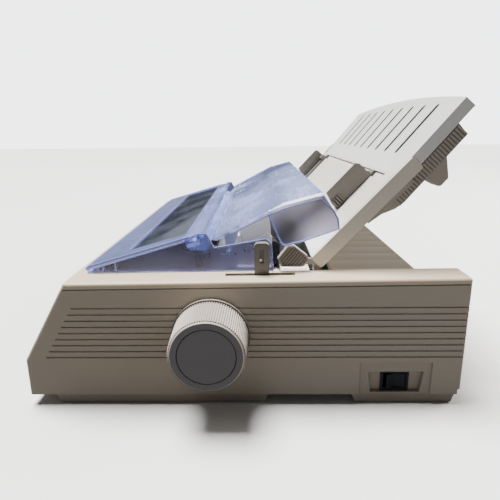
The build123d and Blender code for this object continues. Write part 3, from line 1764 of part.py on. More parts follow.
def edge_guide(x, inward):
    """Edge guide: upright blade with a rounded corner, ribbed grip, foot and tongue."""
    start, end = edge_guide_start, edge_guide_end
    clear = contact_gap
    blade = guide_across(
        [(start, clear), (start, 7.0), (start + 3.5, edge_guide_height), (end - 2, edge_guide_height),
         (end, edge_guide_height - 3), (end, clear)],
        x - edge_guide_blade / 2, x + edge_guide_blade / 2,
    )
    foot_x = x + inward * edge_guide_foot
    foot = guide_across(
        [(start, clear), (start, 2.4), (end, 2.4), (end, clear)], min(x, foot_x), max(x, foot_x)
    )
    tongue = guide_across(
        [(track_start + 0.6, -tongue_depth), (track_start + 0.6, 1.0),
         (track_start + track_width - 0.6, 1.0), (track_start + track_width - 0.6, -tongue_depth)],
        min(x, foot_x), max(x, foot_x),
    )
    bridge = guide_across(
        [(end - 6, clear), (end - 6, 6.0), (end + 0.2, 6.0), (end + 1.0, 4.0), (end + 1.0, clear)],
        min(x, foot_x), max(x, foot_x),
    )
    body = blade + foot + tongue + bridge
    grip_out = x - inward * (edge_guide_blade / 2 + 2.2)
    face = x - inward * (edge_guide_blade / 2 - 0.2)
    for k in range(4):
        s = start + 1.2 + k * 2.6
        body += guide_across(
            [(s, clear + 1), (s, 9.0), (s + 1.3, 9.0), (s + 1.3, clear + 1)],
            min(grip_out, face), max(grip_out, face),
        )
    return body


def guide_tabs():
    """Ribbed grip tabs at the foot of the sheet guide, one each side."""
    tabs = []
    shape = [
        (-26.8, 10.61), (-18.6, 20.93), (-13.6, 21.08), (-3.2, 12.78), (-2.0, 9.37),
        (-6.0, 4.41), (-8.6, 3.73), (-24.0, 4.28),
    ]
    face = [over_deck(guide_y + along, height) for along, height in shape]
    middle_y = sum(y for y, z in face) / len(face)
    middle_z = sum(z for y, z in face) / len(face)
    pocket = []
    for y, z in face:
        reach = math.hypot(y - middle_y, z - middle_z)
        share = 1 - tab_rim / reach
        pocket.append((middle_y + (y - middle_y) * share, middle_z + (z - middle_z) * share))
    joint = [on_guide(-contact_gap / 2, -0.4), on_guide(-contact_gap / 2, -7.0)]
    for side in (-1, 1):
        outer = side * (guide_half + tab_proud)
        inner = side * (guide_half + tab_proud - tab_thickness)
        tab = across(face, min(inner, outer), max(inner, outer), 1.2)
        bottom = side * (guide_half + tab_proud - tab_pocket)
        hollow = across(pocket, min(bottom, outer + side), max(bottom, outer + side), 0.6)
        for k in range(tab_rib_count):
            y = middle_y + (k - (tab_rib_count - 1) / 2) * tab_rib_pitch
            z = middle_z
            hollow -= across(
                [(y - 9.6, z - 12), (y - 8.6, z - 12), (y + 10.6, z + 12), (y + 9.6, z + 12)],
                min(bottom, outer) - 1, max(bottom, outer) - 0.3 if side > 0 else max(bottom, outer) + 1,
            )
        tab -= hollow
        # neck to the end of the guide's rail
        neck_out = side * (guide_half - 0.3)
        tab += across(
            [joint[0], joint[1], over_deck(guide_y - 6.2, 5.21), over_deck(guide_y - 5.6, 11.2)],
            min(inner, neck_out), max(inner, neck_out),
        )
        tabs.append(tab)
    return tabs


# ---------------------------------------------------------------------------
# Tractor cover
# ---------------------------------------------------------------------------
def wave_face(depth):
    """Front view of the tractor cover: a row of low arches, flat underneath."""
    pitch = 2 * plate_half / wave_count
    valley = plate_top - wave_height
    low = valley - depth
    shoulder = plate_top - wave_height / 4
    first = -plate_half + pitch / 2
    lines = [ThreePointArc((-plate_half, plate_top), (-plate_half + pitch / 4, shoulder), (first, valley))]
    for k in range(wave_count - 1):
        start = first + k * pitch
        lines.append(
            ThreePointArc((start, valley), (start + pitch / 2, plate_top), (start + pitch, valley))
        )
    lines.append(
        ThreePointArc((-first, valley), (plate_half - pitch / 4, shoulder), (plate_half, plate_top))
    )
    lines.append(
        Polyline((plate_half, plate_top), (plate_half, low), (-plate_half, low), (-plate_half, plate_top))
    )
    return make_face(lines)


def tractor_cover():
    """Plate over the tractors, arched between its ribs, with a turned-down rear edge."""
    def along_y(face, y0, y1):
        return Pos(0, y0, 0) * extrude(Plane.XZ * face, amount=-(y1 - y0))

    plate = along_y(wave_face(plate_thickness), plate_front, plate_rear)
    plate += along_y(wave_face(plate_flange), plate_rear - plate_wall, plate_rear)
    return plate


# ---------------------------------------------------------------------------
# Release lever
# ---------------------------------------------------------------------------
def release_lever():
    """Lever through the deck slot, on a cross shaft with its cam."""
    head_low = lever_pivot_z + lever_reach
    neck = block(
        lever_slot_x - lever_neck / 2, lever_slot_x + lever_neck / 2,
        lever_y - lever_width / 2, lever_y + lever_width / 2, lever_pivot_z, head_low + 1,
    )
    head = block(
        lever_slot_x - lever_head / 2, lever_slot_x + lever_head / 2,
        lever_y - lever_width / 2, lever_y + lever_width / 2, head_low, lever_top,
    )
    crown = head.edges().filter_by(Axis.X).sort_by(Axis.Z)[-2:]
    head = fillet(crown, 3.0)
    body = neck + head
    body -= block(
        lever_slot_x + lever_head / 2 - 0.8, lever_slot_x + lever_head,
        lever_y - 1.5, lever_y + 1.5, head_low + 5, lever_top - 5,
    )
    end = lever_slot_x + 4
    body += rod(9.0, lever_slot_x - lever_neck / 2, lever_slot_x + lever_neck / 2, lever_y, lever_pivot_z)
    body += rod(release_shaft_radius, frame_half - 12, end, lever_y, lever_pivot_z)
    cam = across(
        [(lever_y - 4, lever_pivot_z - 4), (lever_y + 4, lever_pivot_z - 4),
         (lever_y + 4, lever_pivot_z + 4), (lever_y - 9, lever_pivot_z + 3)],
        frame_half - 11, frame_half - 6,
    )
    return body + cam


# ---------------------------------------------------------------------------
# Power switch, sockets, panel, boards
# ---------------------------------------------------------------------------
switch_face = half_width - well_depth
rocker_y = (bezel_start + bezel_end) / 2
rocker_z = (bezel_bottom + bezel_top) / 2
rocker_x = switch_face - 5.0


def switch_bezel():
    """Black switch housing snapped into the well."""
    rim = bezel_rim + seat_fit
    body = block(
        switch_face - 24, switch_face, bezel_start + rim, bezel_end - rim,
        bezel_bottom + rim, bezel_top - rim,
    )
    flange = block(
        switch_face, switch_face + 1.4, bezel_start, bezel_end, bezel_bottom, bezel_top,
    )
    body += flange
    body -= block(
        switch_face - 14, switch_face + 5, bezel_start + rocker_margin, bezel_end - rocker_margin,
        bezel_bottom + rocker_margin, bezel_top - rocker_margin,
    )
    pin = rocker_pin_radius + running_fit
    body -= post(pin, bezel_bottom, bezel_top, rocker_x, rocker_y)
    return body


def power_rocker():
    """Rocker that tips about an upright axis, drawn in its off position."""
    half = (bezel_end - bezel_start) / 2 - rocker_margin - body_gap
    low = bezel_bottom + rocker_margin + body_gap
    high = bezel_top - rocker_margin - body_gap
    out = switch_face + 2.4 - rocker_x
    shape = [
        (-3.0, 2.0 - half), (out, 0.9 - half), (out - 1.8, 0), (out, half - 0.9), (-3.0, half - 2.0)
    ]
    rocker = Pos(0, 0, low) * extrude(outline(shape), amount=high - low)
    rocker += post(rocker_pin_radius, low - 1.2, high + 1.2, 0, 0)
    return Pos(rocker_x, rocker_y, 0) * Rot(0, 0, rocker_tilt) * rocker


def control_panel():
    """Plate in the recess of the front slope, with the button holes."""
    plane = slope_plane(panel_x, panel_along)
    plate = Rectangle(panel_length, panel_height)
    for k in range(button_count):
        x = (k - (button_count - 1) / 2) * button_pitch + 8
        plate -= Pos(x, -5) * Rectangle(button_length + 0.8, button_height + 0.8)
    for k in range(light_count()):
        plate -= light_spot(k) * Circle(light_radius + 0.1)
    return extrude(plane * plate, amount=-panel_thickness)


def light_count():
    return button_count + 1


def light_spot(k):
    """Place of a status light on the panel."""
    x = (k - (button_count - 1) / 2) * button_pitch + 8 if k < button_count else -46.0
    return Pos(x, 7) if k < button_count else Pos(x, -5)


def push_button(k):
    """Control button that travels into the slope."""
    plane = slope_plane(panel_x, panel_along)
    x = (k - (button_count - 1) / 2) * button_pitch + 8
    cap = extrude(plane * Pos(x, -5) * Rectangle(button_length, button_height), amount=button_proud)
    stem = extrude(plane * Pos(x, -5) * Rectangle(button_length, button_height), amount=-6)
    return cap + stem


def status_lights():
    """Light pipes of the control panel."""
    plane = slope_plane(panel_x, panel_along)
    return [
        extrude(plane * light_spot(k) * Circle(light_radius), amount=0.4)
        + extrude(plane * light_spot(k) * Circle(light_radius), amount=-5)
        for k in range(light_count())
    ]


def main_board():
    """Circuit board on four pillars with its larger parts."""
    x0, y0 = board_x - board_length / 2, board_y - board_depth / 2
    x1, y1 = x0 + board_length, y0 + board_depth
    top = board_height + board_thickness
    board = block(x0, x1, y0, y1, board_height, top)
    pan_top = floor_top + pan_thickness
    for x in (x0 + 6, x1 - 6):
        for y in (y0 + 6, y1 - 8):
            board += post(3, pan_top, board_height + 0.2, x, y)
    board += block(board_x - 20, board_x + 22, board_y - 8, board_y + 8, top - 0.1, top + 4)
    board += block(board_x + 40, board_x + 66, board_y - 22, board_y - 10, top - 0.1, top + 3)
    board += block(board_x - 60, board_x - 36, board_y - 20, board_y - 6, top - 0.1, top + 3)
    for k in range(3):
        board += post(5.5, top - 0.1, top + 18, board_x + 50 + 13 * k, board_y + 20)
    board += block(board_x - 20, board_x + 30, y0 + 4, y0 + 10, top - 0.1, top + 9)
    return board


def transformer():
    """Mains transformer: laminated core, coil and base."""
    half = transformer_size / 2
    x, y = transformer_x, transformer_y
    z = floor_top + pan_thickness
    core = block(x - half, x + half, y - 11, y + 11, z, z + transformer_height)
    coil = block(x - half + 12, x + half - 12, y - 21, y + 21, z + 8, z + transformer_height - 8)
    coil = fillet(coil.edges().filter_by(Axis.Z), 6)
    base = block(x - half - 8, x + half + 8, y - 11, y + 11, z, z + 1.6)
    return core + coil + base


def parallel_port():
    """Rear socket with its metal shell."""
    rear = half_depth
    w, h = port_width / 2 - 0.2, port_height / 2 - 0.2
    body = block(port_x - w, port_x + w, rear - 18, rear, port_z - h, port_z + h)
    body += block(
        port_x - w - 5, port_x + w + 5, rear - case_wall - 1.8, rear - case_wall,
        port_z - h - 2, port_z + h + 2,
    )
    hollow = block(port_x - w + 4, port_x + w - 4, rear - 8, rear + 1, port_z - h + 1.5, port_z + h - 1.5)
    tongue = block(port_x - w + 7, port_x + w - 7, rear - 9, rear - 1.5, port_z - 1.2, port_z + 1.2)
    return body - hollow + tongue


def ac_inlet():
    """Mains inlet with three blades in its well."""
    rear = half_depth
    w, h = inlet_width / 2 - 0.2, inlet_height / 2 - 0.2
    z = inlet_z
    body = block(inlet_x - w, inlet_x + w, rear - 20, rear, z - h, z + h)
    body += block(
        inlet_x - w - 3, inlet_x + w + 3, rear - case_wall - 1.8, rear - case_wall,
        z - h - 2, z + h + 2,
    )
    body -= upright(
        [(inlet_x - 11.5, z - 8), (inlet_x + 11.5, z - 8), (inlet_x + 11.5, z + 4),
         (inlet_x + 7.5, z + 8), (inlet_x - 7.5, z + 8), (inlet_x - 11.5, z + 4)],
        rear - 16, rear + 1,
    )
    for dx, dz in ((-7, -1.5), (7, -1.5), (0, 3.0)):
        body += block(inlet_x + dx - 1, inlet_x + dx + 1, rear - 17, rear - 3, z + dz - 2, z + dz + 2)
    return body


# ---------------------------------------------------------------------------
# Build
# ---------------------------------------------------------------------------
PARTS = {
    "lower_case": lower_case,
    "upper_case": upper_case,
    "rubber_feet": rubber_feet,
    "case_screws": case_screws,
    "chassis_pan": chassis_pan,
    "left_frame": lambda: side_frame(-1),
    "right_frame": lambda: side_frame(1),
    "platen_bushes": platen_bushes,
    "carriage_rod": carriage_rod,
    "tractor_rail": tractor_rail,
    "paper_chute": paper_chute,
    "pressure_rollers": pressure_rollers,
    "platen_roller": platen_roller,
    "platen_shaft": platen_shaft,
    "platen_gear": platen_gear,
    "platen_knob": platen_knob,
    "knob_cap": knob_cap,
    "front_idler_gear": front_idler_gear,
    "rear_idler_gear": rear_idler_gear,
    "feed_pinion": feed_pinion,
    "feed_motor": feed_motor,
    "tractor_shaft": tractor_shaft,
    "left_tractor": lambda: tractor(-tractor_spread),
    "right_tractor": lambda: tractor(tractor_spread),
    "left_tractor_flap": lambda: tractor_flap(-tractor_spread),
    "right_tractor_flap": lambda: tractor_flap(tractor_spread),
    "left_sprocket": lambda: sprocket(-tractor_spread),
    "right_sprocket": lambda: sprocket(tractor_spread),
    "carriage": carriage,
    "print_head": print_head,
    "carriage_belt": carriage_belt,
    "motor_pulley": motor_pulley,
    "idler_pulley": idler_pulley,
    "carriage_motor": carriage_motor,
    "ribbon_cartridge": ribbon_cartridge,
    "ribbon": ribbon,
    "ribbon_knob": ribbon_knob,
    "front_lid": front_lid,
    "cover_frame": cover_frame,
    "rear_cover": rear_cover,
    "paper_separator": paper_separator,
    "sheet_guide": sheet_guide,
    "guide_extension": guide_extension,
    "guide_support": guide_support,
    "right_edge_guide": lambda: edge_guide(right_edge_x, -1),
    "left_edge_guide": lambda: edge_guide(left_edge_x, 1),
    "guide_tabs": guide_tabs,
    "tractor_cover": tractor_cover,
    "release_lever": release_lever,
    "switch_bezel": switch_bezel,
    "power_rocker": power_rocker,
    "control_panel": control_panel,
    "pause_button": lambda: push_button(0),
    "load_button": lambda: push_button(1),
    "feed_button": lambda: push_button(2),
    "status_lights": status_lights,
    "main_board": main_board,
    "transformer": transformer,
    "parallel_port": parallel_port,
    "ac_inlet": ac_inlet,
}

os.makedirs("parts", exist_ok=True)
for name, make in PARTS.items():
    shape = make()
    if isinstance(shape, list):
        shape = Compound(children=[Solid(s.solids()[0].wrapped) for s in shape])
    export_step(shape, f"parts/{name}.step")
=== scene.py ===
import math
from functools import partial

import bmesh
import bpy
from bpy.props import FloatProperty, FloatVectorProperty, PointerProperty
from mathutils import Matrix, Vector


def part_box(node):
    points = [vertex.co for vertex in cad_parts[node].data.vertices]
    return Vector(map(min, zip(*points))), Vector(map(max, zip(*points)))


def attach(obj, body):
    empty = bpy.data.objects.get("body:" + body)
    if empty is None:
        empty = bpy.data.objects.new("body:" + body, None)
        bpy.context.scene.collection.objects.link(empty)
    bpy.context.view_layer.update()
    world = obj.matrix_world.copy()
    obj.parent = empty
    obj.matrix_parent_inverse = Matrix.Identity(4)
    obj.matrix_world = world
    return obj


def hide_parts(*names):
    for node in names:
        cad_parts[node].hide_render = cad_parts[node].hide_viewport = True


bl_info = {
    "name": "Dot matrix printer dressing",
    "version": (1, 0, 0),
    "blender": (4, 5, 0),
    "location": "3D View > Sidebar > Printer",
    "description": "Dresses the packed printer with its finishes and small trim",
    "category": "Object",
}

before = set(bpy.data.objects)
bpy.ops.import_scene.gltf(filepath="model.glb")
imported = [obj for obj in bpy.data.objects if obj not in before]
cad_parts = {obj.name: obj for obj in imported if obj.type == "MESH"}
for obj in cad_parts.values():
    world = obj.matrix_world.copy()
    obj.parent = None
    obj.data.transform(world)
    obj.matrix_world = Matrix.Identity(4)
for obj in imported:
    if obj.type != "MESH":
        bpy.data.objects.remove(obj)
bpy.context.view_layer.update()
MM = 0.001
DOUBLES = 0.002 * MM  # vertices nearer than this are one
SMOOTH_LIMIT = math.radians(32)  # a sharper edge between two faces stays sharp
EDGE_SAMPLES = 4  # of a bevel node
SHADE_SAMPLES = 6  # of an occlusion node
BEAD_SIDES = 8  # of a cover bead


# ---- Sizes and colours a user would change ----
class StageSettings(bpy.types.PropertyGroup):
    """Camera, floor and light."""

    eye: FloatVectorProperty(
        name="Eye", description="Place of the camera", default=(0.53073, 0.01192, 0.21456),
        subtype="XYZ", unit="LENGTH",
    )
    pitch: FloatProperty(
        name="Pitch", description="How far the camera looks down", default=math.radians(14.81),
        subtype="ANGLE",
    )
    yaw: FloatProperty(
        name="Yaw", description="Turn of the camera from straight across the case",
        default=math.radians(0.985), subtype="ANGLE",
    )
    roll: FloatProperty(
        name="Roll", description="Tilt of the picture", default=math.radians(-0.6), subtype="ANGLE",
    )
    lens: FloatProperty(name="Lens", description="Focal length in millimetres", default=32.4)
    key_power: FloatProperty(name="Key", description="Strength of the overhead light", default=11.5)
    key_spread: FloatProperty(
        name="Key spread", description="Spread of the overhead light",
        default=math.radians(28), subtype="ANGLE",
    )
    card_power: FloatProperty(
        name="Card", description="Power of the pale card on the far side", default=7.0,
    )
    back_power: FloatProperty(
        name="Back", description="Power of the light behind the rear", default=26.0,
    )
    fill_power: FloatProperty(
        name="Fill", description="Power of the light beside the camera", default=0.2,
    )
    sky: FloatProperty(name="Sky", description="Strength of the pale surroundings", default=0.10)
    backdrop: FloatProperty(
        name="Backdrop", description="Brightness behind the object", default=4.3,
    )
    floor_tone: FloatVectorProperty(
        name="Floor", description="Colour of the floor", default=(0.9, 0.9, 0.9), subtype="COLOR",
    )
    floor_bounce: FloatProperty(
        name="Floor bounce", description="Share of its tone that lights the object", default=0.175,
    )


class FinishSettings(bpy.types.PropertyGroup):
    """Colours of the moulded parts and the tinted covers."""

    beige: FloatVectorProperty(
        name="Beige", description="Case colour", default=(0.425, 0.378, 0.327), subtype="COLOR",
    )
    aged: FloatVectorProperty(
        name="Aged beige", description="Case colour where it has yellowed",
        default=(0.43, 0.355, 0.265), subtype="COLOR",
    )
    ivory: FloatVectorProperty(
        name="Ivory", description="Sheet guide colour", default=(0.70, 0.65, 0.57), subtype="COLOR",
    )
    grey: FloatVectorProperty(
        name="Grey", description="Edge guides", default=(0.17, 0.158, 0.142), subtype="COLOR",
    )
    tint: FloatVectorProperty(
        name="Cover tint", description="Colour of the clear covers", default=(0.36, 0.44, 0.80),
        subtype="COLOR",
    )
    frost: FloatVectorProperty(
        name="Frosted tint", description="Colour of the frosted border of the lid",
        default=(0.16, 0.20, 0.44), subtype="COLOR",
    )
    rim: FloatVectorProperty(
        name="Cover edge", description="Colour that gathers in the covers' edges",
        default=(0.16, 0.18, 0.55), subtype="COLOR",
    )
    grain: FloatProperty(
        name="Grain", description="Spacing of the moulded texture", default=1.1 * MM, unit="LENGTH",
    )
    softness: FloatProperty(
        name="Edge softness", description="Radius of the moulded edges", default=0.7 * MM,
        unit="LENGTH",
    )


class CoverSettings(bpy.types.PropertyGroup):
    """Where the covers change from clear to milky."""

    window_width: FloatProperty(
        name="Window width", description="Width of the lid's clear window", default=328 * MM,
        unit="LENGTH",
    )
    window_start: FloatProperty(
        name="Window start", description="From the lid's front edge", default=33.5 * MM,
        unit="LENGTH",
    )
    window_end: FloatProperty(
        name="Window end", description="From the lid's front edge", default=82.8 * MM,
        unit="LENGTH",
    )
    lid_front: FloatVectorProperty(
        name="Lid front", description="Depth and height of the lid's front edge",
        default=(-127.4 * MM, 109.0 * MM), size=2, unit="LENGTH",
    )
    lid_slope: FloatProperty(
        name="Lid slope", description="Rise of the lid", default=math.radians(16.2),
        subtype="ANGLE",
    )
    hood_width: FloatProperty(
        name="Hood width", description="Width over the end walls", default=370 * MM, unit="LENGTH",
    )
    bead_radius: FloatProperty(
        name="Bead radius", description="Radius of the covers' rolled edges", default=0.8 * MM,
        unit="LENGTH",
    )
    hood_corner: FloatProperty(
        name="Hood corner", description="Radius where panel and end wall meet", default=4 * MM,
        unit="LENGTH",
    )


class GuideSettings(bpy.types.PropertyGroup):
    """Where the slots of the guide's extension are."""

    slope: FloatProperty(
        name="Slope", description="Rise of the extension's plate", default=math.radians(49.6),
        subtype="ANGLE",
    )
    slot_middle: FloatVectorProperty(
        name="Slot middle", description="Depth and height of the slots' middle",
        default=(145.4 * MM, 217.3 * MM), size=2, unit="LENGTH",
    )
    slot_length: FloatProperty(
        name="Slot length", description="Length of a slot", default=55 * MM, unit="LENGTH",
    )
    slot_reach: FloatProperty(
        name="Slot reach", description="From the middle to beyond the last slot", default=146 * MM,
        unit="LENGTH",
    )
    slot_softness: FloatProperty(
        name="Slot softness", description="Width of a slot's rounded edge", default=1.8 * MM,
        unit="LENGTH",
    )


# ---- Node helpers ----
FLOAT, COLOUR, VECTOR = "NodeSocketFloat", "NodeSocketColor", "NodeSocketVector"


def new_group(name, inputs, outputs):
    """Empty shader group with named sockets, its input node and its output node."""
    group = bpy.data.node_groups.new(name, "ShaderNodeTree")
    for label, kind, value in inputs:
        socket = group.interface.new_socket(name=label, in_out="INPUT", socket_type=kind)
        socket.default_value = value
    for label, kind in outputs:
        group.interface.new_socket(name=label, in_out="OUTPUT", socket_type=kind)
    return group, group.nodes.new("NodeGroupInput"), group.nodes.new("NodeGroupOutput")


def feed(tree, socket, value):
    """Links a socket to another one, or sets its value."""
    if isinstance(value, bpy.types.NodeSocket):
        tree.links.new(value, socket)
    else:
        socket.default_value = value


def math_node(tree, operation, *values, clamp=False):
    """Math node with its inputs linked or set; returns its output."""
    node = tree.nodes.new("ShaderNodeMath")
    node.operation = operation
    node.use_clamp = clamp
    for socket, value in zip(node.inputs, values):
        feed(tree, socket, value)
    return node.outputs[0]


def noise(tree, vector, scale, detail, stretch=None):
    """Noise texture on a vector, which may be stretched first; returns its factor."""
    if stretch is not None:
        mapping = tree.nodes.new("ShaderNodeMapping")
        mapping.inputs["Scale"].default_value = stretch
        tree.links.new(vector, mapping.inputs["Vector"])
        vector = mapping.outputs[0]
    node = tree.nodes.new("ShaderNodeTexNoise")
    node.inputs["Detail"].default_value = detail
    tree.links.new(vector, node.inputs["Vector"])
    feed(tree, node.inputs["Scale"], scale)
    return node.outputs[0]


def ramp(tree, value, low, high):
    """Value mapped from low..high to 0..1, clamped."""
    node = tree.nodes.new("ShaderNodeMapRange")
    node.inputs["From Min"].default_value = low
    node.inputs["From Max"].default_value = high
    tree.links.new(value, node.inputs["Value"])
    return node.outputs[0]


def object_place(tree):
    """Object coordinates."""
    return tree.nodes.new("ShaderNodeTexCoord").outputs["Object"]


def blend_colour(tree, factor, first, second):
    """Mix of two colours, each a socket or a plain colour, by a factor socket."""
    mix = tree.nodes.new("ShaderNodeMix")
    mix.data_type = "RGBA"
    tree.links.new(factor, mix.inputs[0])
    for socket, value in ((mix.inputs[6], first), (mix.inputs[7], second)):
        feed(tree, socket, value if isinstance(value, bpy.types.NodeSocket) else (*value, 1.0))
    return mix.outputs[2]


def softened_normal(tree, radius):
    """Normal that is rounded off at edges."""
    edge = tree.nodes.new("ShaderNodeBevel")
    edge.samples = EDGE_SAMPLES
    feed(tree, edge.inputs["Radius"], radius)
    return edge.outputs[0]


def edge_turn(tree, radius):
    """How far the rounded normal turns from the face's own: 0 away from edges."""
    face = tree.nodes.new("ShaderNodeNewGeometry")
    dot = tree.nodes.new("ShaderNodeVectorMath")
    dot.operation = "DOT_PRODUCT"
    tree.links.new(softened_normal(tree, radius), dot.inputs[0])
    tree.links.new(face.outputs["Normal"], dot.inputs[1])
    return math_node(tree, "SUBTRACT", 1.0, dot.outputs["Value"])


def rough_relief(tree, height, depth, distance, normal):
    """Bump of a height over a normal; returns the new normal."""
    bump = tree.nodes.new("ShaderNodeBump")
    bump.inputs["Distance"].default_value = distance
    tree.links.new(depth, bump.inputs["Strength"])
    tree.links.new(height, bump.inputs["Height"])
    tree.links.new(normal, bump.inputs["Normal"])
    return bump.outputs[0]


def put_out_mask(group, source, sink, mask):
    """Puts a mask out of a group, multiplied by the group's Amount."""
    scaled = math_node(group, "MULTIPLY", mask, source.outputs["Amount"], clamp=True)
    group.links.new(scaled, sink.inputs["Mask"])


# ---- Shared shader groups ----
def moulded_grain():
    """Fine moulded texture on softened edges."""
    group, source, sink = new_group(
        "Moulded grain",
        [("Density", FLOAT, 900.0), ("Depth", FLOAT, 0.15),
         ("Edge radius", FLOAT, 0.0007)],
        [("Normal", VECTOR), ("Fine", FLOAT)],
    )
    place = object_place(group)
    fine = noise(group, place, source.outputs["Density"], 2.0)
    broad = noise(group, place, 130.0, 2.0)
    height = math_node(group, "MULTIPLY_ADD", broad, 0.25, fine)
    smooth = softened_normal(group, source.outputs["Edge radius"])
    normal = rough_relief(group, height, source.outputs["Depth"], 0.3 * MM, smooth)
    group.links.new(normal, sink.inputs["Normal"])
    group.links.new(fine, sink.inputs["Fine"])
    return group


def edge_wear_and_highlight():
    """Mask that is 1 on worn edges, where a highlight is painted too, broken up by noise."""
    group, source, sink = new_group(
        "Edge wear and highlight",
        [("Radius", FLOAT, 0.0012), ("Amount", FLOAT, 0.5)],
        [("Mask", FLOAT)],
    )
    worn_and_lit_edges = ramp(group, edge_turn(group, source.outputs["Radius"]), 0.02, 0.22)
    patchy = ramp(group, noise(group, object_place(group), 60.0, 5.0), 0.35, 0.65)
    put_out_mask(group, source, sink, math_node(group, "MULTIPLY", worn_and_lit_edges, patchy))
    return group


def gathered_edge():
    """Even mask along sharp edges, where a clear sheet gathers its colour."""
    group, source, sink = new_group(
        "Gathered edge", [("Radius", FLOAT, 0.002)], [("Mask", FLOAT)],
    )
    mask = ramp(group, edge_turn(group, source.outputs["Radius"]), 0.01, 0.10)
    group.links.new(mask, sink.inputs["Mask"])
    return group


def settled_dust():
    """Mask of dust on faces that look up."""
    group, source, sink = new_group(
        "Settled dust", [("Amount", FLOAT, 0.3)], [("Mask", FLOAT)],
    )
    face = group.nodes.new("ShaderNodeNewGeometry")
    parts = group.nodes.new("ShaderNodeSeparateXYZ")
    group.links.new(face.outputs["Normal"], parts.inputs[0])
    upward = ramp(group, parts.outputs["Z"], 0.35, 0.95)
    patchy = ramp(group, noise(group, object_place(group), 22.0, 6.0), 0.3, 0.75)
    put_out_mask(group, source, sink, math_node(group, "MULTIPLY", upward, patchy))
    return group


def crevice_grime():
    """Mask of dirt and painted shade in grooves, slots and inside corners."""
    group, source, sink = new_group(
        "Crevice grime",
        [("Reach", FLOAT, 0.004), ("Amount", FLOAT, 0.6)],
        [("Mask", FLOAT)],
    )
    closed = group.nodes.new("ShaderNodeAmbientOcclusion")
    closed.samples = SHADE_SAMPLES
    group.links.new(source.outputs["Reach"], closed.inputs["Distance"])
    hidden = math_node(group, "SUBTRACT", 1.0, closed.outputs["AO"])
    put_out_mask(group, source, sink, ramp(group, hidden, 0.25, 0.72))
    return group


def wiped_and_mirrored_streaks():
    """Mask of soft streaks along X, left by wiping, and of painted reflections along them."""
    group, source, sink = new_group(
        "Wiped and mirrored streaks", [("Amount", FLOAT, 0.5)], [("Mask", FLOAT)],
    )
    place = object_place(group)
    lines = ramp(group, noise(group, place, 12.0, 6.0, stretch=(0.35, 22.0, 22.0)), 0.45, 0.66)
    patches = ramp(group, noise(group, place, 13.0, 3.0), 0.35, 0.62)
    put_out_mask(group, source, sink, math_node(group, "MULTIPLY", lines, patches))
    return group


def uneven_colour():
    """Broad and small colour drift between two tones."""
    group, source, sink = new_group(
        "Uneven colour",
        [("Tone", COLOUR, (0.5, 0.5, 0.5, 1)),
         ("Other tone", COLOUR, (0.4, 0.4, 0.4, 1)),
         ("Amount", FLOAT, 0.5), ("Size", FLOAT, 6.0)],
        [("Color", COLOUR), ("Drift", FLOAT)],
    )
    place = object_place(group)
    broad = ramp(group, noise(group, place, source.outputs["Size"], 3.0), 0.3, 0.7)
    small = noise(group, place, 260.0, 4.0)
    drift = math_node(group, "MULTIPLY_ADD", small, 0.3, broad)
    factor = math_node(group, "MULTIPLY", drift, source.outputs["Amount"], clamp=True)
    colour = blend_colour(group, factor, source.outputs["Tone"], source.outputs["Other tone"])
    group.links.new(colour, sink.inputs["Color"])
    group.links.new(factor, sink.inputs["Drift"])
    return group


def fine_scratches():
    """Mask of long thin scratches."""
    group, source, sink = new_group(
        "Fine scratches", [("Amount", FLOAT, 0.5)], [("Mask", FLOAT)],
    )
    place = object_place(group)
    along = noise(group, place, 40.0, 8.0, stretch=(1.2, 22.0, 22.0))
    across = noise(group, place, 40.0, 8.0, stretch=(22.0, 1.5, 9.0))
    first = ramp(group, along, 0.63, 0.68)
    second = ramp(group, across, 0.65, 0.7)
    put_out_mask(group, source, sink, math_node(group, "MAXIMUM", first, second))
    return group


def brushed_lines():
    """Rolled or drawn lines along X on metal."""
    group, source, sink = new_group(
        "Brushed lines", [("Depth", FLOAT, 0.1)],
        [("Streak", FLOAT), ("Normal", VECTOR)],
    )
    streak = noise(group, object_place(group), 90.0, 6.0, stretch=(0.6, 14.0, 14.0))
    smooth = softened_normal(group, 0.3 * MM)
    normal = rough_relief(group, streak, source.outputs["Depth"], 0.2 * MM, smooth)
    group.links.new(streak, sink.inputs["Streak"])
    group.links.new(normal, sink.inputs["Normal"])
    return group


GROUPS = {}


def group_node(tree, builder, **values):
    """Places a shared group in a material, building it the first time."""
    if builder.__name__ not in GROUPS:
        GROUPS[builder.__name__] = builder()
    node = tree.nodes.new("ShaderNodeGroup")
    node.node_tree = GROUPS[builder.__name__]
    for label, value in values.items():
        socket = node.inputs[label.replace("_", " ")]
        socket.default_value = (*value, 1.0) if socket.type == "RGBA" else value
    return node


# ---- Materials ----
DUST = (0.42, 0.40, 0.37)
WIPED_AND_MIRRORED = (0.66, 0.72, 0.92)  # where a cloth has left the covers milky, and where pale reflections are painted on them
COVER_DENSITY = 240.0  # grain of the clear covers, per metre
COVER_IOR = 1.49


def blank_material(name):
    """Material with only a Principled BSDF; returns the material, its tree and the shader."""
    material = bpy.data.materials.new(name)
    material.use_nodes = True
    tree = material.node_tree
    return material, tree, tree.nodes["Principled BSDF"]


def shade(colour, factor):
    """Colour made lighter or darker."""
    return tuple(min(1.0, channel * factor) for channel in colour)


def dress(tree, shader, base, roughness, normal, **constants):
    """Links what varies over the surface and sets what doesn't."""
    for label, value in (("Base Color", base), ("Roughness", roughness), ("Normal", normal)):
        tree.links.new(value, shader.inputs[label])
    for label, value in constants.items():
        shader.inputs[label.replace("_", " ")].default_value = value


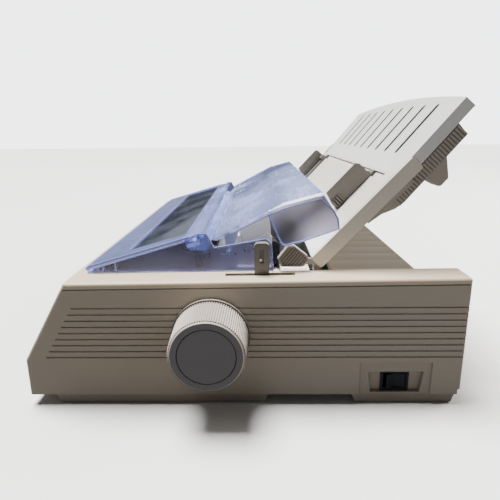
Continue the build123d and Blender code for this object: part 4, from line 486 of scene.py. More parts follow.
def moulded_plastic(name, tone, other, rough, grain, wear_and_highlight, dust, softness, density, grime=0.7,
                    reach=0.004, gloss=0.45):
    """Opaque moulded plastic with grain, drifted colour, rubbed edges with a painted highlight,
    painted shade in crevices and a little dust.
    """
    material, tree, shader = blank_material(name)
    colour = group_node(tree, uneven_colour, Tone=tone, Other_tone=other, Amount=0.5, Size=6.0)
    surface = group_node(tree, moulded_grain, Density=density, Depth=grain, Edge_radius=softness)
    worn_and_lit_edges = group_node(tree, edge_wear_and_highlight, Radius=softness * 1.6, Amount=wear_and_highlight)
    dusty = group_node(tree, settled_dust, Amount=dust)
    # edges are lightened for wear and as a painted highlight
    base = blend_colour(tree, worn_and_lit_edges.outputs["Mask"], colour.outputs["Color"], shade(tone, 1.35))
    base = blend_colour(tree, dusty.outputs["Mask"], base, DUST)
    # painted shade, with some dirt: occluded crevices are darkened towards a far darker tone
    if grime > 0.0:
        shaded_crevices = group_node(tree, crevice_grime, Reach=reach, Amount=grime)
        base = blend_colour(tree, shaded_crevices.outputs["Mask"], base, shade(tone, 0.16))
    roughness = math_node(tree, "MULTIPLY_ADD", surface.outputs["Fine"], 0.16, rough - 0.08)
    dress(tree, shader, base, roughness, surface.outputs["Normal"], Specular_IOR_Level=gloss)
    return material


def painted_reflection_band(tree, middle, rise, width):
    """Mask of a soft band across the depth and height of a sheet that stands across X, where a dark
    reflection is painted.
    """
    parts = tree.nodes.new("ShaderNodeSeparateXYZ")
    tree.links.new(object_place(tree), parts.inputs[0])
    offset = middle[0] * math.sin(rise) - middle[1] * math.cos(rise)
    deep = math_node(tree, "MULTIPLY_ADD", parts.outputs["Y"], -math.sin(rise), offset)
    off = math_node(tree, "MULTIPLY_ADD", parts.outputs["Z"], math.cos(rise), deep)
    return ramp(tree, math_node(tree, "ABSOLUTE", off), width, 0.1 * width)


def tinted_clear(name, tint, rim, rough, haze, clear, streaks_and_reflections=0.0, dull=0.0, gloss=0.5, reflection_band=None):
    """Tinted clear plastic with scratches, handling haze, wiped streaks with painted reflections,
    an optional painted dark reflection band and deep edges.
    """
    material, tree, shader = blank_material(name)
    scratches = group_node(tree, fine_scratches, Amount=0.7)
    wiped_and_mirrored = group_node(tree, wiped_and_mirrored_streaks, Amount=streaks_and_reflections)
    surface = group_node(
        tree, moulded_grain, Density=COVER_DENSITY, Depth=0.04, Edge_radius=0.5 * MM,
    )
    edge = group_node(tree, gathered_edge, Radius=2.2 * MM)
    smear = ramp(tree, noise(tree, object_place(tree), 18.0, 5.0), 0.4, 0.75)
    smear = math_node(tree, "MULTIPLY", smear, haze)
    scratched = math_node(tree, "MULTIPLY_ADD", scratches.outputs["Mask"], 0.18, smear)
    streaked = math_node(tree, "MULTIPLY_ADD", wiped_and_mirrored.outputs["Mask"], 0.25, scratched)
    roughness = math_node(tree, "ADD", streaked, rough, clamp=True)
    clouded = blend_colour(tree, smear, shade(tint, 1.0 - dull), shade(tint, 1.3))
    # painted dark reflection: a slanted band darkens the tint
    if reflection_band is not None:
        clouded = blend_colour(tree, painted_reflection_band(tree, *reflection_band), clouded, shade(tint, 0.3))
    # wiped marks and painted reflections turn the tint pale and milky
    clouded = blend_colour(tree, wiped_and_mirrored.outputs["Mask"], clouded, WIPED_AND_MIRRORED)
    base = blend_colour(tree, edge.outputs["Mask"], clouded, rim)
    dress(
        tree, shader, base, roughness, surface.outputs["Normal"], Transmission_Weight=clear,
        IOR=COVER_IOR, Specular_IOR_Level=gloss,
    )
    return material


def sheet_metal(name, tone, rough, depth=0.12, streak=0.25):
    """Rolled or drawn metal."""
    material, tree, shader = blank_material(name)
    lines = group_node(tree, brushed_lines, Depth=depth)
    drift = ramp(tree, noise(tree, object_place(tree), 14.0, 4.0), 0.3, 0.75)
    base = blend_colour(tree, drift, tone, shade(tone, 0.8))
    roughness = math_node(
        tree, "MULTIPLY_ADD", lines.outputs["Streak"], streak, rough - streak / 2,
    )
    dress(tree, shader, base, roughness, lines.outputs["Normal"], Metallic=1.0)
    return material


def build_materials(finish):
    """All finishes, by name."""
    beige, aged = tuple(finish.beige), tuple(finish.aged)
    ivory, grey = tuple(finish.ivory), tuple(finish.grey)
    tint, frost, rim = tuple(finish.tint), tuple(finish.frost), tuple(finish.rim)
    soft = finish.softness
    plastic = partial(moulded_plastic, density=1.0 / finish.grain)
    # plastic: full name, tone, other tone, roughness, grain, wear and painted edge highlight, dust,
    # edge radius
    # tinted_clear: full name, tint, edge colour, roughness, haze, clearness
    return {
        "case": plastic("aged beige shell", beige, aged, 0.5, 0.22, 0.3, 0.10, soft, grime=0.12),
        # painted light: the upper case and the apron get a lighter copy of the case plastic
        "deck": plastic(
            "beige deck", shade(aged, 1.45), shade(aged, 1.25), 0.4, 0.2, 0.4, 0.05, soft,
            grime=0.4,
        ),
        "knob": plastic(
            "knob grip", shade(beige, 1.2), beige, 0.4, 0.1, 0.5, 0.05, 0.00012, grime=1.0,
            reach=0.0014,
        ),
        "knob_face": plastic(
            "knob face", (0.165, 0.157, 0.16), (0.135, 0.13, 0.135), 0.45, 0.12, 0.2, 0.0, 0.0006,
        ),
        "guide": plastic(
            "ivory guide", ivory, shade(ivory, 0.93), 0.42, 0.12, 0.25, 0.04, soft, grime=0.95,
            reach=0.010,
        ),
        "extension": plastic(
            "pale extension", (0.72, 0.72, 0.71), (0.66, 0.66, 0.65), 0.4, 0.12, 0.25, 0.03, soft,
            grime=0.9, reach=0.008,
        ),
        # painted shade: the slots' walls get a far darker copy of the ivory
        "slot": plastic(
            "slot walls", shade(ivory, 0.3), shade(ivory, 0.25), 0.6, 0.1, 0.0, 0.0, 0.0002,
            grime=0.9, reach=0.008,
        ),
        "support": plastic(
            "guide support", shade(beige, 0.95), shade(beige, 0.8), 0.5, 0.15, 0.3, 0.05, 0.0006,
            grime=0.8, reach=0.003,
        ),
        "grey": plastic(
            "grey trim", grey, shade(grey, 0.85), 0.42, 0.15, 0.7, 0.08, 0.0009, grime=0.8,
            reach=0.003,
        ),
        "tab": plastic(
            "sheet tabs", (0.30, 0.28, 0.26), (0.26, 0.24, 0.22), 0.45, 0.12, 0.6, 0.05, 0.0009,
            grime=0.9, reach=0.003,
        ),
        "black": plastic(
            "black trim", (0.022, 0.024, 0.03), (0.03, 0.03, 0.032), 0.4, 0.12, 0.3, 0.1, 0.0005,
            grime=0.3,
        ),
        "switch": plastic(
            "switch black", (0.005, 0.007, 0.016), (0.007, 0.009, 0.018), 0.35, 0.03, 0.1, 0.0,
            0.0006, grime=0.3, gloss=0.3,
        ),
        "gear": plastic(
            "gear plastic", (0.72, 0.71, 0.66), (0.6, 0.59, 0.54), 0.4, 0.05, 0.1, 0.1, 0.0002,
            grime=0.5, reach=0.002,
        ),
        "rubber": plastic(
            "roller rubber", (0.018, 0.018, 0.019), (0.03, 0.03, 0.03), 0.75, 0.25, 0.1, 0.2,
            0.0004, density=1600.0, grime=0.0,
        ),
        "cloth": plastic(
            "inked ribbon", (0.012, 0.012, 0.016), (0.02, 0.02, 0.024), 0.8, 0.5, 0.0, 0.0, 0.0001,
            density=2600.0, grime=0.0,
        ),
        # board tone is darkened below its own as painted shade for the inside of the case
        "board": plastic(
            "circuit board", (0.004, 0.022, 0.011), (0.006, 0.03, 0.014), 0.35, 0.05, 0.1, 0.1,
            0.0002, grime=0.5,
        ),
        "light": plastic(
            "light pipe", (0.1, 0.45, 0.15), (0.08, 0.35, 0.12), 0.2, 0.02, 0.0, 0.0, 0.0002,
            grime=0.0,
        ),
        "motor": plastic(
            "motor enamel", (0.02, 0.02, 0.022), (0.035, 0.035, 0.035), 0.4, 0.1, 0.4, 0.1, 0.0004,
            grime=0.3,
        ),
        "sleeve": plastic(
            "capacitor sleeve", (0.01, 0.016, 0.06), (0.015, 0.02, 0.07), 0.3, 0.02, 0.1, 0.1,
            0.0003, grime=0.2,
        ),
        "window": tinted_clear("lid window", (0.06, 0.1, 0.24), rim, 0.03, 0.2, 0.98, gloss=0.3),
        "border": tinted_clear("lid border", frost, rim, 0.3, 0.15, 0.72, streaks_and_reflections=0.1, dull=0.25),
        "skirt": tinted_clear("milky skirt", (0.17, 0.18, 0.31), rim, 0.2, 0.3, 0.9, gloss=0.2),
        "panel": tinted_clear("hood panel", shade(tint, 1.12), rim, 0.04, 0.4, 0.92, streaks_and_reflections=0.6),
        # the end wall's slanted band is a painted dark reflection
        "wall": tinted_clear(
            "hood end wall", (0.27, 0.26, 0.32), rim, 0.3, 0.1, 0.95, gloss=0.15,
            reflection_band=((0.046, 0.147), math.radians(40), 0.016),
        ),
        # pale tint paints a bright highlight along the covers' rolled edges and the skirt ribs
        "bead": tinted_clear(
            "highlight bead", (0.62, 0.68, 0.96), (0.2, 0.22, 0.62), 0.12, 0.2, 0.45,
        ),
        "cover": tinted_clear("tinted cover", tint, rim, 0.08, 0.3, 0.88, streaks_and_reflections=0.5),
        "steel": sheet_metal("plated steel", (0.55, 0.55, 0.53), 0.42),
        "rod": sheet_metal("ground rod", (0.7, 0.7, 0.7), 0.22, 0.03, 0.1),
    }


NODE_FINISH = {
    "case": ("lower_case", "tractor_cover", "control_panel"),
    "deck": ("upper_case",),
    "knob_face": ("knob_cap",),
    "guide": ("sheet_guide", "paper_separator"),
    "support": ("guide_support",),
    "grey": (
        "right_edge_guide", "left_edge_guide", "release_lever", "pause_button", "load_button",
        "feed_button",
    ),
    "tab": ("guide_tabs",),
    "black": (
        "ribbon_cartridge", "ribbon_knob", "carriage", "ac_inlet", "parallel_port", "left_tractor",
        "right_tractor", "left_tractor_flap", "right_tractor_flap", "left_sprocket",
        "right_sprocket", "motor_pulley", "idler_pulley",
    ),
    "switch": ("switch_bezel", "power_rocker"),
    "gear": (
        "platen_gear", "front_idler_gear", "rear_idler_gear", "feed_pinion", "tractor_shaft",
        "platen_bushes",
    ),
    "rubber": ("rubber_feet", "platen_roller", "pressure_rollers", "carriage_belt"),
    "cloth": ("ribbon",),
    "light": ("status_lights",),
    "motor": ("feed_motor", "carriage_motor", "print_head"),
    "steel": (
        "chassis_pan", "left_frame", "right_frame", "paper_chute", "transformer", "case_screws",
    ),
    "rod": ("carriage_rod", "tractor_rail", "platen_shaft"),
}
COPIED = (
    "front_lid", "cover_frame", "rear_cover", "platen_knob", "main_board", "guide_extension",
)
MATERIALS = {}


def finish_of(name):
    """Finish by name, building them all the first time."""
    if not MATERIALS:
        MATERIALS.update(build_materials(bpy.context.scene.printer_finish))
    return MATERIALS[name]


# ---- Mesh helpers ----
def copy_of(node):
    """The mesh of a CAD node with its doubles merged."""
    shape = bmesh.new()
    shape.from_mesh(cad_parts[node].data)
    bmesh.ops.remove_doubles(shape, verts=shape.verts, dist=DOUBLES)
    return shape


def cut(shape, place, direction):
    """Cuts the faces along a plane and keeps both sides."""
    bmesh.ops.bisect_plane(
        shape, geom=shape.verts[:] + shape.edges[:] + shape.faces[:], dist=0.001 * MM,
        plane_co=place, plane_no=direction,
    )


def shade_by_angle(shape):
    """Smooth shading that stops at sharp edges."""
    for face in shape.faces:
        face.smooth = True
    for edge in shape.edges:
        edge.smooth = len(edge.link_faces) == 2 and edge.calc_face_angle(0.0) < SMOOTH_LIMIT


def place_object(name, data):
    """Object of some data, linked to the scene."""
    placed = bpy.data.objects.new(name, data)
    bpy.context.scene.collection.objects.link(placed)
    return placed


def mesh_of(shape, name):
    """Mesh of a shape, which it uses up."""
    mesh = bpy.data.meshes.new(name)
    shape.to_mesh(mesh)
    shape.free()
    return mesh


def add_object(shape, name, finishes, body):
    """Makes the shape an object with its finishes that rides on a body."""
    shade_by_angle(shape)
    mesh = mesh_of(shape, name)
    piece = place_object(name, mesh)
    for finish in finishes:
        mesh.materials.append(finish_of(finish))
    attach(piece, body)
    return piece


def metres(point):
    """Millimetres to metres."""
    return Vector([value * MM for value in point])


def block(shape, low, high, soft=0.0):
    """Box between two corners with softened edges, in millimetres."""
    low, high = metres(low), metres(high)
    made = bmesh.ops.create_cube(shape, size=1.0)["verts"]
    bmesh.ops.scale(shape, vec=high - low, verts=made)
    bmesh.ops.translate(shape, vec=(low + high) / 2, verts=made)
    if soft:
        edges = list(dict.fromkeys(edge for vertex in made for edge in vertex.link_edges))
        bmesh.ops.bevel(
            shape, geom=edges, offset=soft * MM, offset_type="OFFSET", segments=2, profile=0.5,
            affect="EDGES", material=-1, clamp_overlap=True,
        )


def turned(shape, profile, centre, axis, steps):
    """Solid of revolution from (radius, reach) points along an axis, in millimetres."""
    axis = Vector(axis)
    side = axis.orthogonal().normalized()
    centre = metres(centre)
    points = [
        shape.verts.new(centre + side * (radius * MM) + axis * (reach * MM))
        for radius, reach in profile
    ]
    edges = [shape.edges.new(pair) for pair in zip(points, points[1:])]
    bmesh.ops.spin(
        shape, geom=points + edges, cent=centre, axis=axis, dvec=(0.0, 0.0, 0.0),
        angle=math.tau, steps=steps, use_merge=True,
    )


def tidy_turned(shape):
    """Merges the poles of turned solids and points every face outwards."""
    bmesh.ops.remove_doubles(shape, verts=shape.verts, dist=0.004 * MM)
    bmesh.ops.recalc_face_normals(shape, faces=shape.faces)


def bead(shape, path, radius, closed=False):
    """Round bead swept through the points of a path, in metres."""
    path = [Vector(point) for point in path]
    count = len(path)
    rings = []
    for index, point in enumerate(path):
        before = path[index - 1] if index or closed else point
        after = path[(index + 1) % count] if index < count - 1 or closed else point
        along = ((point - before).normalized() + (after - point).normalized()).normalized()
        ring = bmesh.ops.create_circle(shape, segments=BEAD_SIDES, radius=radius)["verts"]
        turn = along.to_track_quat("Z", "X").to_matrix().to_4x4()
        bmesh.ops.transform(shape, matrix=Matrix.Translation(point) @ turn, verts=ring)
        rings.append(ring)
    if closed:
        rings.append(rings[0])
    for first, second in zip(rings, rings[1:]):
        edges = [
            edge for ring in (first, second)
            for edge in dict.fromkeys(edge for vertex in ring for edge in vertex.link_edges)
            if all(vertex in ring for vertex in edge.verts)
        ]
        bmesh.ops.bridge_loops(shape, edges=edges)
    if not closed:
        for ring in (rings[0], rings[-1]):
            bmesh.ops.contextual_create(shape, geom=ring)
    bmesh.ops.recalc_face_normals(shape, faces=shape.faces)


def both_sides(points, x):
    """The same (depth, height) path in millimetres on each side of the printer, in metres."""
    return [[(side * x * MM, y * MM, z * MM) for y, z in points] for side in (-1, 1)]


def lid_line(sizes):
    """Front edge of the lid in the middle of its width, and the direction up its slope."""
    slope = Vector((0.0, math.cos(sizes.lid_slope), math.sin(sizes.lid_slope)))
    return Vector((0.0, *sizes.lid_front)), slope


def finish_copy(shape, name, finishes, part, body, node):
    """Gives each face of a copied node its finish and stands it in for the node."""
    for face in shape.faces:
        face.material_index = part(face)
    piece = add_object(shape, name, finishes, body)
    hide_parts(node)
    return piece


# ---- Operators ----
class PRINTER_OT_finishes(bpy.types.Operator):
    """Give every solid of the printer its finish"""

    bl_idname = "printer.finishes"
    bl_label = "Finishes"

    def execute(self, context):
        given = set()
        for name, nodes in NODE_FINISH.items():
            for node in nodes:
                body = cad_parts[node]
                body.data.materials.clear()
                body.data.materials.append(finish_of(name))
                given.add(node)
        missing = set(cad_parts) - given - set(COPIED)
        if missing:
            raise RuntimeError(f"no finish for {sorted(missing)}")
        return {"FINISHED"}


class PRINTER_OT_covers(bpy.types.Operator):
    """Stand copies in for the tinted covers, with their clear and milky parts told apart"""

    bl_idname = "printer.covers"
    bl_label = "Covers"

    SKIRT_DEPTH = 8.0 * MM  # how far in from its side a skirt's own finish goes

    def execute(self, context):
        sizes = context.scene.printer_covers
        for cover in (self.lid(sizes), self.hood(sizes), self.skirts()):
            cover.visible_shadow = False
        return {"FINISHED"}

    def lid(self, sizes):
        """Front lid with a clear window in a frosted border."""
        shape = copy_of("front_lid")
        half = sizes.window_width / 2
        for x in (-half, half):
            cut(shape, (x, 0.0, 0.0), (1.0, 0.0, 0.0))
        front, slope = lid_line(sizes)
        for reach in (sizes.window_start, sizes.window_end):
            cut(shape, front + slope * reach, slope)

        def part(face):
            centre = face.calc_center_median()
            reach = (centre - front).dot(slope)
            if reach > sizes.window_end:
                return 2
            return int(abs(centre.x) > half or reach < sizes.window_start)

        finishes = ("window", "border", "cover")
        return finish_copy(shape, "tinted_lid", finishes, part, "lid", "front_lid")

    def hood(self, sizes):
        """Rear cover with clear panels between milky end walls."""
        shape = copy_of("rear_cover")
        inside = sizes.hood_width / 2 - sizes.hood_corner

        def part(face):
            return int(abs(face.calc_center_median().x) > inside and abs(face.normal.x) > 0.7)

        return finish_copy(shape, "tinted_hood", ("panel", "wall"), part, "hood", "rear_cover")

    def skirts(self):
        """Cover frame with milky skirts at its sides."""
        shape = copy_of("cover_frame")
        edge = max(abs(vertex.co.x) for vertex in shape.verts) - self.SKIRT_DEPTH

        def part(face):
            return int(abs(face.calc_center_median().x) < edge)

        return finish_copy(shape, "tinted_skirts", ("skirt", "cover"), part, "case", "cover_frame")


class PRINTER_OT_beads(bpy.types.Operator):
    """Round beads along the edges of the tinted covers, and the channel between lid and hood"""

    bl_idname = "printer.beads"
    bl_label = "Cover edges"

    # Sizes in mm. Outlines are (depth, height) of the hood's end wall and of the skirt's rear edge.
    SIDE = 184.7  # beads' distance from the middle
    HOOD_FRONT = ((-9.0, 136.2), (20.5, 151.1))
    HOOD_WALL = (
        (20.5, 151.1), (31.3, 127.3), (33.7, 126.6), (48.0, 130.2), (76.0, 139.8), (74.8, 147.4),
        (70.8, 154.6), (61.0, 163.4), (33.0, 156.2),
    )
    SKIRT_REAR = (
        (-35.4, 136.2), (-28.6, 136.2), (-22.6, 124.9), (18.5, 131.8), (22.8, 127.6), (24.3, 106.4),
    )
    # name: body, (outline, whether it is closed)
    OUTLINES = {
        "hood_beads": ("hood", ((HOOD_FRONT, False), (HOOD_WALL, True))),
        "skirt_beads": ("case", ((SKIRT_REAR, False),)),
    }
    LID_BEAD = (2.0, 88.0)  # from the lid's front edge
    LID_MARGIN = 1.0  # the lid's side to its bead
    WINDOW_MARGINS = (-1.2, 1.5)  # the window's front and rear edges to their beads
    RIBS = ((-116.9, 109.0), (-112.6, 110.2), (-102.6, 113.2))  # (depth, top)
    RIB_FOOT, RIB_HALF, RIB_SOFT = 105.8, 0.7, 0.2
    RIB_INNER, RIB_OUTER = 184.6, 185.7
    CHANNEL = ((-45.0, 127.0), (-43.6, 124.6), (-30.5, 122.6), (-28.6, 124.4))
    CHANNEL_HALF, CHANNEL_WALL = 182.4, 1.2

    def execute(self, context):
        sizes = context.scene.printer_covers
        radius = sizes.bead_radius
        for name, (body, outlines) in self.OUTLINES.items():
            shape = bmesh.new()
            for outline, closed in outlines:
                for path in both_sides(outline, self.SIDE):
                    bead(shape, path, radius, closed)
            add_object(shape, name, ("bead",), body)
        self.lid(sizes, radius)
        self.ribs()
        self.channel()
        return {"FINISHED"}

    def lid(self, sizes, radius):
        """Beads along the lid's sides and its window."""
        front, slope = lid_line(sizes)
        shape = bmesh.new()
        edge = sizes.hood_width / 2 - self.LID_MARGIN * MM
        for side in (-1, 1):
            across = Vector((side * edge, 0.0, 0.0))
            bead(shape, [front + across + slope * (reach * MM) for reach in self.LID_BEAD], radius)
        half = sizes.window_width / 2
        ahead, behind = self.WINDOW_MARGINS
        for reach in (sizes.window_end + behind * MM, sizes.window_start + ahead * MM):
            middle = front + slope * reach
            ends = [middle + Vector((side * half, 0.0, 0.0)) for side in (-1, 1)]
            bead(shape, ends, radius * 0.7)
        add_object(shape, "lid_beads", ("bead",), "lid")

    def ribs(self):
        """Upright ribs on the outside of the skirts."""
        shape = bmesh.new()
        for side in (-1, 1):
            inner, outer = sorted((side * self.RIB_INNER, side * self.RIB_OUTER))
            for y, top in self.RIBS:
                low = (inner, y - self.RIB_HALF, self.RIB_FOOT)
                block(shape, low, (outer, y + self.RIB_HALF, top), self.RIB_SOFT)
        add_object(shape, "skirt_ribs", ("bead",), "case")

    def channel(self):
        """Open channel under the gap between lid and hood."""
        shape = bmesh.new()
        points = [shape.verts.new(metres((-self.CHANNEL_HALF, y, z))) for y, z in self.CHANNEL]
        edges = [shape.edges.new(pair) for pair in zip(points, points[1:])]
        swept = bmesh.ops.extrude_edge_only(shape, edges=edges)["geom"]
        moved = [item for item in swept if isinstance(item, bmesh.types.BMVert)]
        across = metres((2 * self.CHANNEL_HALF, 0.0, 0.0))
        bmesh.ops.translate(shape, vec=across, verts=moved)
        bmesh.ops.recalc_face_normals(shape, faces=shape.faces)
        bmesh.ops.solidify(shape, geom=shape.faces[:], thickness=self.CHANNEL_WALL * MM)
        bmesh.ops.recalc_face_normals(shape, faces=shape.faces)
        add_object(shape, "hinge_channel", ("cover",), "case").visible_shadow = False


class PRINTER_OT_apron(bpy.types.Operator):
    """Ribbed plate that closes the opening under the near tab of the sheet guide"""

    bl_idname = "printer.apron"
    bl_label = "Apron"

    # Sizes in mm
    PLATE = ((138.0, 31.0, 102.6), (183.9, 54.5, 104.2))
    PLATE_SOFT = 0.4
    RIBS = (146.0, 156.0, 166.0, 176.0)
    RIB_HALF = 0.6
    RIB_DEPTHS, RIB_HEIGHTS = (33.0, 52.5), (104.0, 104.8)

    def execute(self, context):
        shape = bmesh.new()
        block(shape, *self.PLATE, self.PLATE_SOFT)
        (front, rear), (foot, top) = self.RIB_DEPTHS, self.RIB_HEIGHTS
        for x in self.RIBS:
            block(shape, (x - self.RIB_HALF, front, foot), (x + self.RIB_HALF, rear, top))
        add_object(shape, "tab_apron", ("deck",), "case")
        return {"FINISHED"}


class PRINTER_OT_fasteners(bpy.types.Operator):
    """Screws beside the sockets, clips on the rods and the mark on the lever"""

    bl_idname = "printer.fasteners"
    bl_label = "Fasteners"

    # Sizes in mm. Profiles are (radius, reach).
    REAR = 173.25
    # name: profile, places along X, height, sides
    HEADS = {
        "inlet_screws": (
            ((0.0, 0.9), (1.8, 0.9), (2.6, 0.55), (3.0, 0.0), (3.0, -0.6), (0.0, -0.6)),
            (126.5, 169.5), 34.0, 24,
        ),
        "port_nuts": (
            ((0.0, 2.4), (1.1, 2.4), (1.1, 3.0), (2.2, 3.0), (2.7, 2.6), (2.7, -0.6), (0.0, -0.6)),
            (-158.5, -77.5), 38.0, 6,
        ),
    }
    CLIP_X, CLIP_HALF, CLIP_SIDES = 158.2, 0.5, 28
    CLIPS = ((-66.0, 34.0, 5.0, 7.6), (124.8, 58.1, 3.0, 5.2))  # depth, height, bore, outer
    MARK = ((0.0, 0.35), (0.7, 0.35), (0.95, 0.1), (0.95, -0.5), (0.0, -0.5))
    MARK_Y, MARK_Z, MARK_SIDES = 14.4, 118.0, 16

    def execute(self, context):
        for name, (profile, places, height, sides) in self.HEADS.items():
            shape = bmesh.new()
            for x in places:
                turned(shape, profile, (x, self.REAR, height), (0.0, 1.0, 0.0), sides)
            tidy_turned(shape)
            add_object(shape, name, ("rod",), "case")
        self.clips()
        self.lever_mark()
        return {"FINISHED"}

    def clips(self):
        """Spring clips on the ends of the two rods."""
        shape = bmesh.new()
        half = self.CLIP_HALF
        for y, z, bore, outer in self.CLIPS:
            profile = ((bore, -half), (outer, -half), (outer, half), (bore, half), (bore, -half))
            for x in (-self.CLIP_X, self.CLIP_X):
                turned(shape, profile, (x, y, z), (1.0, 0.0, 0.0), self.CLIP_SIDES)
        tidy_turned(shape)
        add_object(shape, "rod_clips", ("steel",), "case")

    def lever_mark(self):
        """Pale dot on the outer face of the release lever."""
        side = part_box("release_lever")[1][0] / MM
        shape = bmesh.new()
        place = (side, self.MARK_Y, self.MARK_Z)
        turned(shape, self.MARK, place, (1.0, 0.0, 0.0), self.MARK_SIDES)
        tidy_turned(shape)
        add_object(shape, "lever_mark", ("gear",), "lever")


class PRINTER_OT_extension(bpy.types.Operator):
    """Stand a copy in for the guide's extension, with wide softened edges round its slots and
    painted shade on their walls
    """

    bl_idname = "printer.extension"
    bl_label = "Extension"

    SLOT_MARGIN = 1.5 * MM  # beyond a slot's ends, where edges still count as its own
    FLAT = math.radians(0.6)  # faces that turn less than this are one

    def execute(self, context):
        sizes = context.scene.printer_guide
        shape = copy_of("guide_extension")
        bmesh.ops.dissolve_limit(
            shape, angle_limit=self.FLAT, verts=shape.verts, edges=shape.edges,
            use_dissolve_boundaries=False, delimit=set(),
        )
        upward = Vector((0.0, -math.sin(sizes.slope), math.cos(sizes.slope)))
        along = Vector((0.0, math.cos(sizes.slope), math.sin(sizes.slope)))
        middle = Vector((0.0, *sizes.slot_middle))
        half = sizes.slot_length / 2 + self.SLOT_MARGIN

        def by_slot(place):
            return abs((place - middle).dot(along)) < half and abs(place.x) < sizes.slot_reach

        def on_rim(edge):
            centre = sum((vertex.co for vertex in edge.verts), Vector()) / 2
            facing = [face.normal.dot(upward) > 0.95 for face in edge.link_faces]
            return by_slot(centre) and facing.count(True) == 1

        # the slots' walls take the dark slot finish, which is painted shade
        def part(face):
            return int(by_slot(face.calc_center_median()) and abs(face.normal.dot(upward)) < 0.9)

        rims = [edge for edge in shape.edges if on_rim(edge)]
        if not rims:
            raise RuntimeError("the extension has no slot edges to soften")
        bmesh.ops.bevel(
            shape, geom=rims, offset=sizes.slot_softness, offset_type="OFFSET", segments=3,
            profile=0.5, affect="EDGES", material=-1, clamp_overlap=True,
        )
        finishes = ("extension", "slot")
        finish_copy(shape, "slotted_extension", finishes, part, "extension", "guide_extension")
        return {"FINISHED"}


class PRINTER_OT_board(bpy.types.Operator):
    """Circuit board with its chips and capacitors told apart, and its small parts"""

    bl_idname = "printer.board"
    bl_label = "Board"

    # Sizes in mm
    TOP = 21.6  # upper face of the board
    SINK = 0.05  # small parts start this far inside it
    TALL = 10  # taller parts are capacitors
    REAR_PARTS = 116.0  # and so are all behind this depth
    RESISTOR_ROWS = (84.0, 90.0, 140.0)
    RESISTOR_START, RESISTOR_PITCH, ROW_SHIFT, RESISTORS = -130.0, 6.5, 2.0, 9
    RESISTOR_HALVES, RESISTOR_HEIGHT, RESISTOR_SOFT = (1.1, 2.6), 2.0, 0.5
    PLUGS = (-112.0, -96.0, -80.0)
    PLUG_HALF, PLUG_DEPTHS, PLUG_HEIGHT, PLUG_SOFT = 5, (122.0, 128.0), 8.0, 0.4

    def execute(self, context):
        shape = copy_of("main_board")

        def part(face):
            centre = face.calc_center_median() / MM
            if centre.z < self.TOP + 0.01:
                return 0
            return 2 if centre.z > self.TOP + self.TALL or centre.y > self.REAR_PARTS else 1

        finishes = ("board", "black", "sleeve")
        finish_copy(shape, "populated_board", finishes, part, "case", "main_board")
        self.small_parts()
        return {"FINISHED"}

    def small_parts(self):
        """Rows of resistors and a few plugs."""
        foot = self.TOP - self.SINK
        resistors, plugs = bmesh.new(), bmesh.new()
        wide, deep = self.RESISTOR_HALVES
        for row, y in enumerate(self.RESISTOR_ROWS):
            for step in range(self.RESISTORS):
                x = self.RESISTOR_START + step * self.RESISTOR_PITCH + row * self.ROW_SHIFT
                high = (x + wide, y + deep, foot + self.RESISTOR_HEIGHT)
                block(resistors, (x - wide, y - deep, foot), high, self.RESISTOR_SOFT)
        front, rear = self.PLUG_DEPTHS
        for x in self.PLUGS:
            high = (x + self.PLUG_HALF, rear, foot + self.PLUG_HEIGHT)
            block(plugs, (x - self.PLUG_HALF, front, foot), high, self.PLUG_SOFT)
        add_object(resistors, "board_resistors", ("support",), "case")
        add_object(plugs, "board_plugs", ("gear",), "case")


class PRINTER_OT_knob(bpy.types.Operator):
    """Stand a finished copy in for the platen knob, with its flat face told from its grip"""

    bl_idname = "printer.knob"
    bl_label = "Knob"

    def execute(self, context):
        def part(face):
            return int(face.normal.x > 0.9)

        finishes = ("knob", "knob_face")
        finish_copy(copy_of("platen_knob"), "ribbed_knob", finishes, part, "platen", "platen_knob")
        return {"FINISHED"}


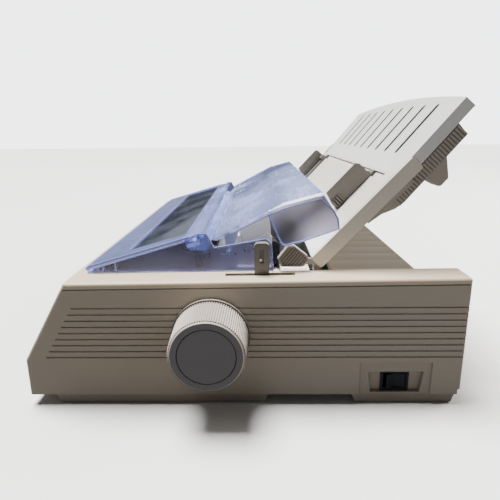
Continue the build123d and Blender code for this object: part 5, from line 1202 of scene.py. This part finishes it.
class PRINTER_OT_stage(bpy.types.Operator):
    """Set the floor, the lights and the camera"""

    bl_idname = "printer.stage"
    bl_label = "Stage"

    FLOOR_HALF = 6.0  # m
    KEY_COLOUR = (1.0, 0.985, 0.96)
    KEY_LINE = ((-0.24, -0.32, 1.5), (0.0, 0.0, 0.1))  # from, towards
    SURROUNDINGS = (0.97, 0.985, 1.0, 1.0)
    SENSOR_WIDTH = 36.0  # mm
    NEAREST = 0.01  # m, where the camera's view starts

    def execute(self, context):
        stage = context.scene.printer_stage
        self.floor(stage)
        self.lights(stage)
        self.surroundings(stage)
        self.camera(stage)
        return {"FINISHED"}

    def floor(self, stage):
        """Pale floor that throws back less light than the camera sees on it."""
        shape = bmesh.new()
        bmesh.ops.create_grid(shape, x_segments=1, y_segments=1, size=self.FLOOR_HALF)
        mesh = mesh_of(shape, "floor")
        floor = place_object("floor", mesh)
        material, tree, shader = blank_material("pale floor")
        tone = tuple(stage.floor_tone)
        drift = noise(tree, object_place(tree), 3.0, 2.0)
        seen = blend_colour(tree, drift, tone, shade(tone, 0.985))
        ray = tree.nodes.new("ShaderNodeLightPath").outputs["Is Camera Ray"]
        thrown = blend_colour(tree, ray, shade(tone, stage.floor_bounce), seen)
        tree.links.new(thrown, shader.inputs["Base Color"])
        shader.inputs["Roughness"].default_value = 0.9
        shader.inputs["Specular IOR Level"].default_value = 0.1
        mesh.materials.append(material)

    def lights(self, stage):
        """Overhead sun and three area lights."""
        key = bpy.data.lights.new("key", "SUN")
        key.energy = stage.key_power
        key.angle = stage.key_spread
        key.color = self.KEY_COLOUR
        self.hang(key, *self.KEY_LINE)
        # name: size, power, colour, from, towards
        areas = {
            "card": (
                (3.2, 1.3), stage.card_power, (0.82, 0.9, 1.0), (-2.3, 0.2, 0.95), (0.0, 0.0, 0.15),
            ),
            "back": (
                (0.9,), stage.back_power, (1.0, 0.95, 0.88), (-0.35, 1.5, 1.0), (0.0, 0.1, 0.12),
            ),
            "fill": (
                (1.2,), stage.fill_power, (1.0, 0.97, 0.93), (1.5, -0.7, 0.9), (0.1, 0.0, 0.08),
            ),
        }
        for name, (size, power, colour, place, target) in areas.items():
            light = bpy.data.lights.new(name, "AREA")
            light.shape = "RECTANGLE" if len(size) == 2 else "DISK"
            light.size, light.size_y = size[0], size[-1]
            light.energy = power
            light.color = colour
            lamp = self.hang(light, place, target)
            if name == "card":
                lamp.visible_camera = False

    def surroundings(self, stage):
        """Pale surroundings, brighter to the camera than as a light."""
        world = bpy.data.worlds.new("pale surroundings")
        bpy.context.scene.world = world
        world.use_nodes = True
        tree = world.node_tree
        background = tree.nodes["Background"]
        background.inputs["Color"].default_value = self.SURROUNDINGS
        ray = tree.nodes.new("ShaderNodeLightPath").outputs["Is Camera Ray"]
        extra = stage.backdrop - stage.sky
        strength = math_node(tree, "MULTIPLY_ADD", ray, extra, stage.sky)
        tree.links.new(strength, background.inputs["Strength"])

    def hang(self, light, place, target):
        """Lamp at a place, turned to a target."""
        lamp = place_object(light.name, light)
        lamp.location = place
        lamp.rotation_euler = (Vector(target) - Vector(place)).to_track_quat("-Z", "Y").to_euler()
        return lamp

    def camera(self, stage):
        """Camera at the photograph's viewing angle."""
        data = bpy.data.cameras.new("camera")
        data.lens = stage.lens
        data.sensor_width = self.SENSOR_WIDTH
        data.clip_start = self.NEAREST
        camera = place_object("camera", data)
        turn = Matrix.Rotation(math.radians(90) + stage.yaw, 4, "Z")
        turn = turn @ Matrix.Rotation(math.radians(90) - stage.pitch, 4, "X")
        turn = turn @ Matrix.Rotation(stage.roll, 4, "Z")
        camera.matrix_world = Matrix.Translation(stage.eye) @ turn
        bpy.context.scene.camera = camera


class PRINTER_PT_panel(bpy.types.Panel):
    """Lists the dressing steps"""

    bl_label = "Printer"
    bl_idname = "PRINTER_PT_panel"
    bl_space_type = "VIEW_3D"
    bl_region_type = "UI"
    bl_category = "Printer"

    def draw(self, context):
        for step in STEPS:
            self.layout.operator(step.bl_idname)
        for group in SETTINGS:
            settings = getattr(context.scene, group)
            box = self.layout.box()
            for name in settings.__annotations__:
                box.prop(settings, name)


STEPS = (
    PRINTER_OT_stage, PRINTER_OT_finishes, PRINTER_OT_covers, PRINTER_OT_beads, PRINTER_OT_knob,
    PRINTER_OT_extension, PRINTER_OT_board, PRINTER_OT_apron, PRINTER_OT_fasteners,
)
SETTINGS = {
    "printer_stage": StageSettings, "printer_finish": FinishSettings,
    "printer_covers": CoverSettings, "printer_guide": GuideSettings,
}
CLASSES = (*SETTINGS.values(), *STEPS, PRINTER_PT_panel)


def register():
    """Registers the classes and hangs the settings on the scene."""
    for item in CLASSES:
        bpy.utils.register_class(item)
    for name, settings in SETTINGS.items():
        setattr(bpy.types.Scene, name, PointerProperty(type=settings))


def unregister():
    """Takes the settings and the classes away again."""
    for name in SETTINGS:
        delattr(bpy.types.Scene, name)
    for item in reversed(CLASSES):
        bpy.utils.unregister_class(item)


def main():
    """Dresses the printer."""
    register()
    for step in STEPS:
        group, name = step.bl_idname.split(".")
        getattr(getattr(bpy.ops, group), name)()


if __name__ == "__main__":
    main()
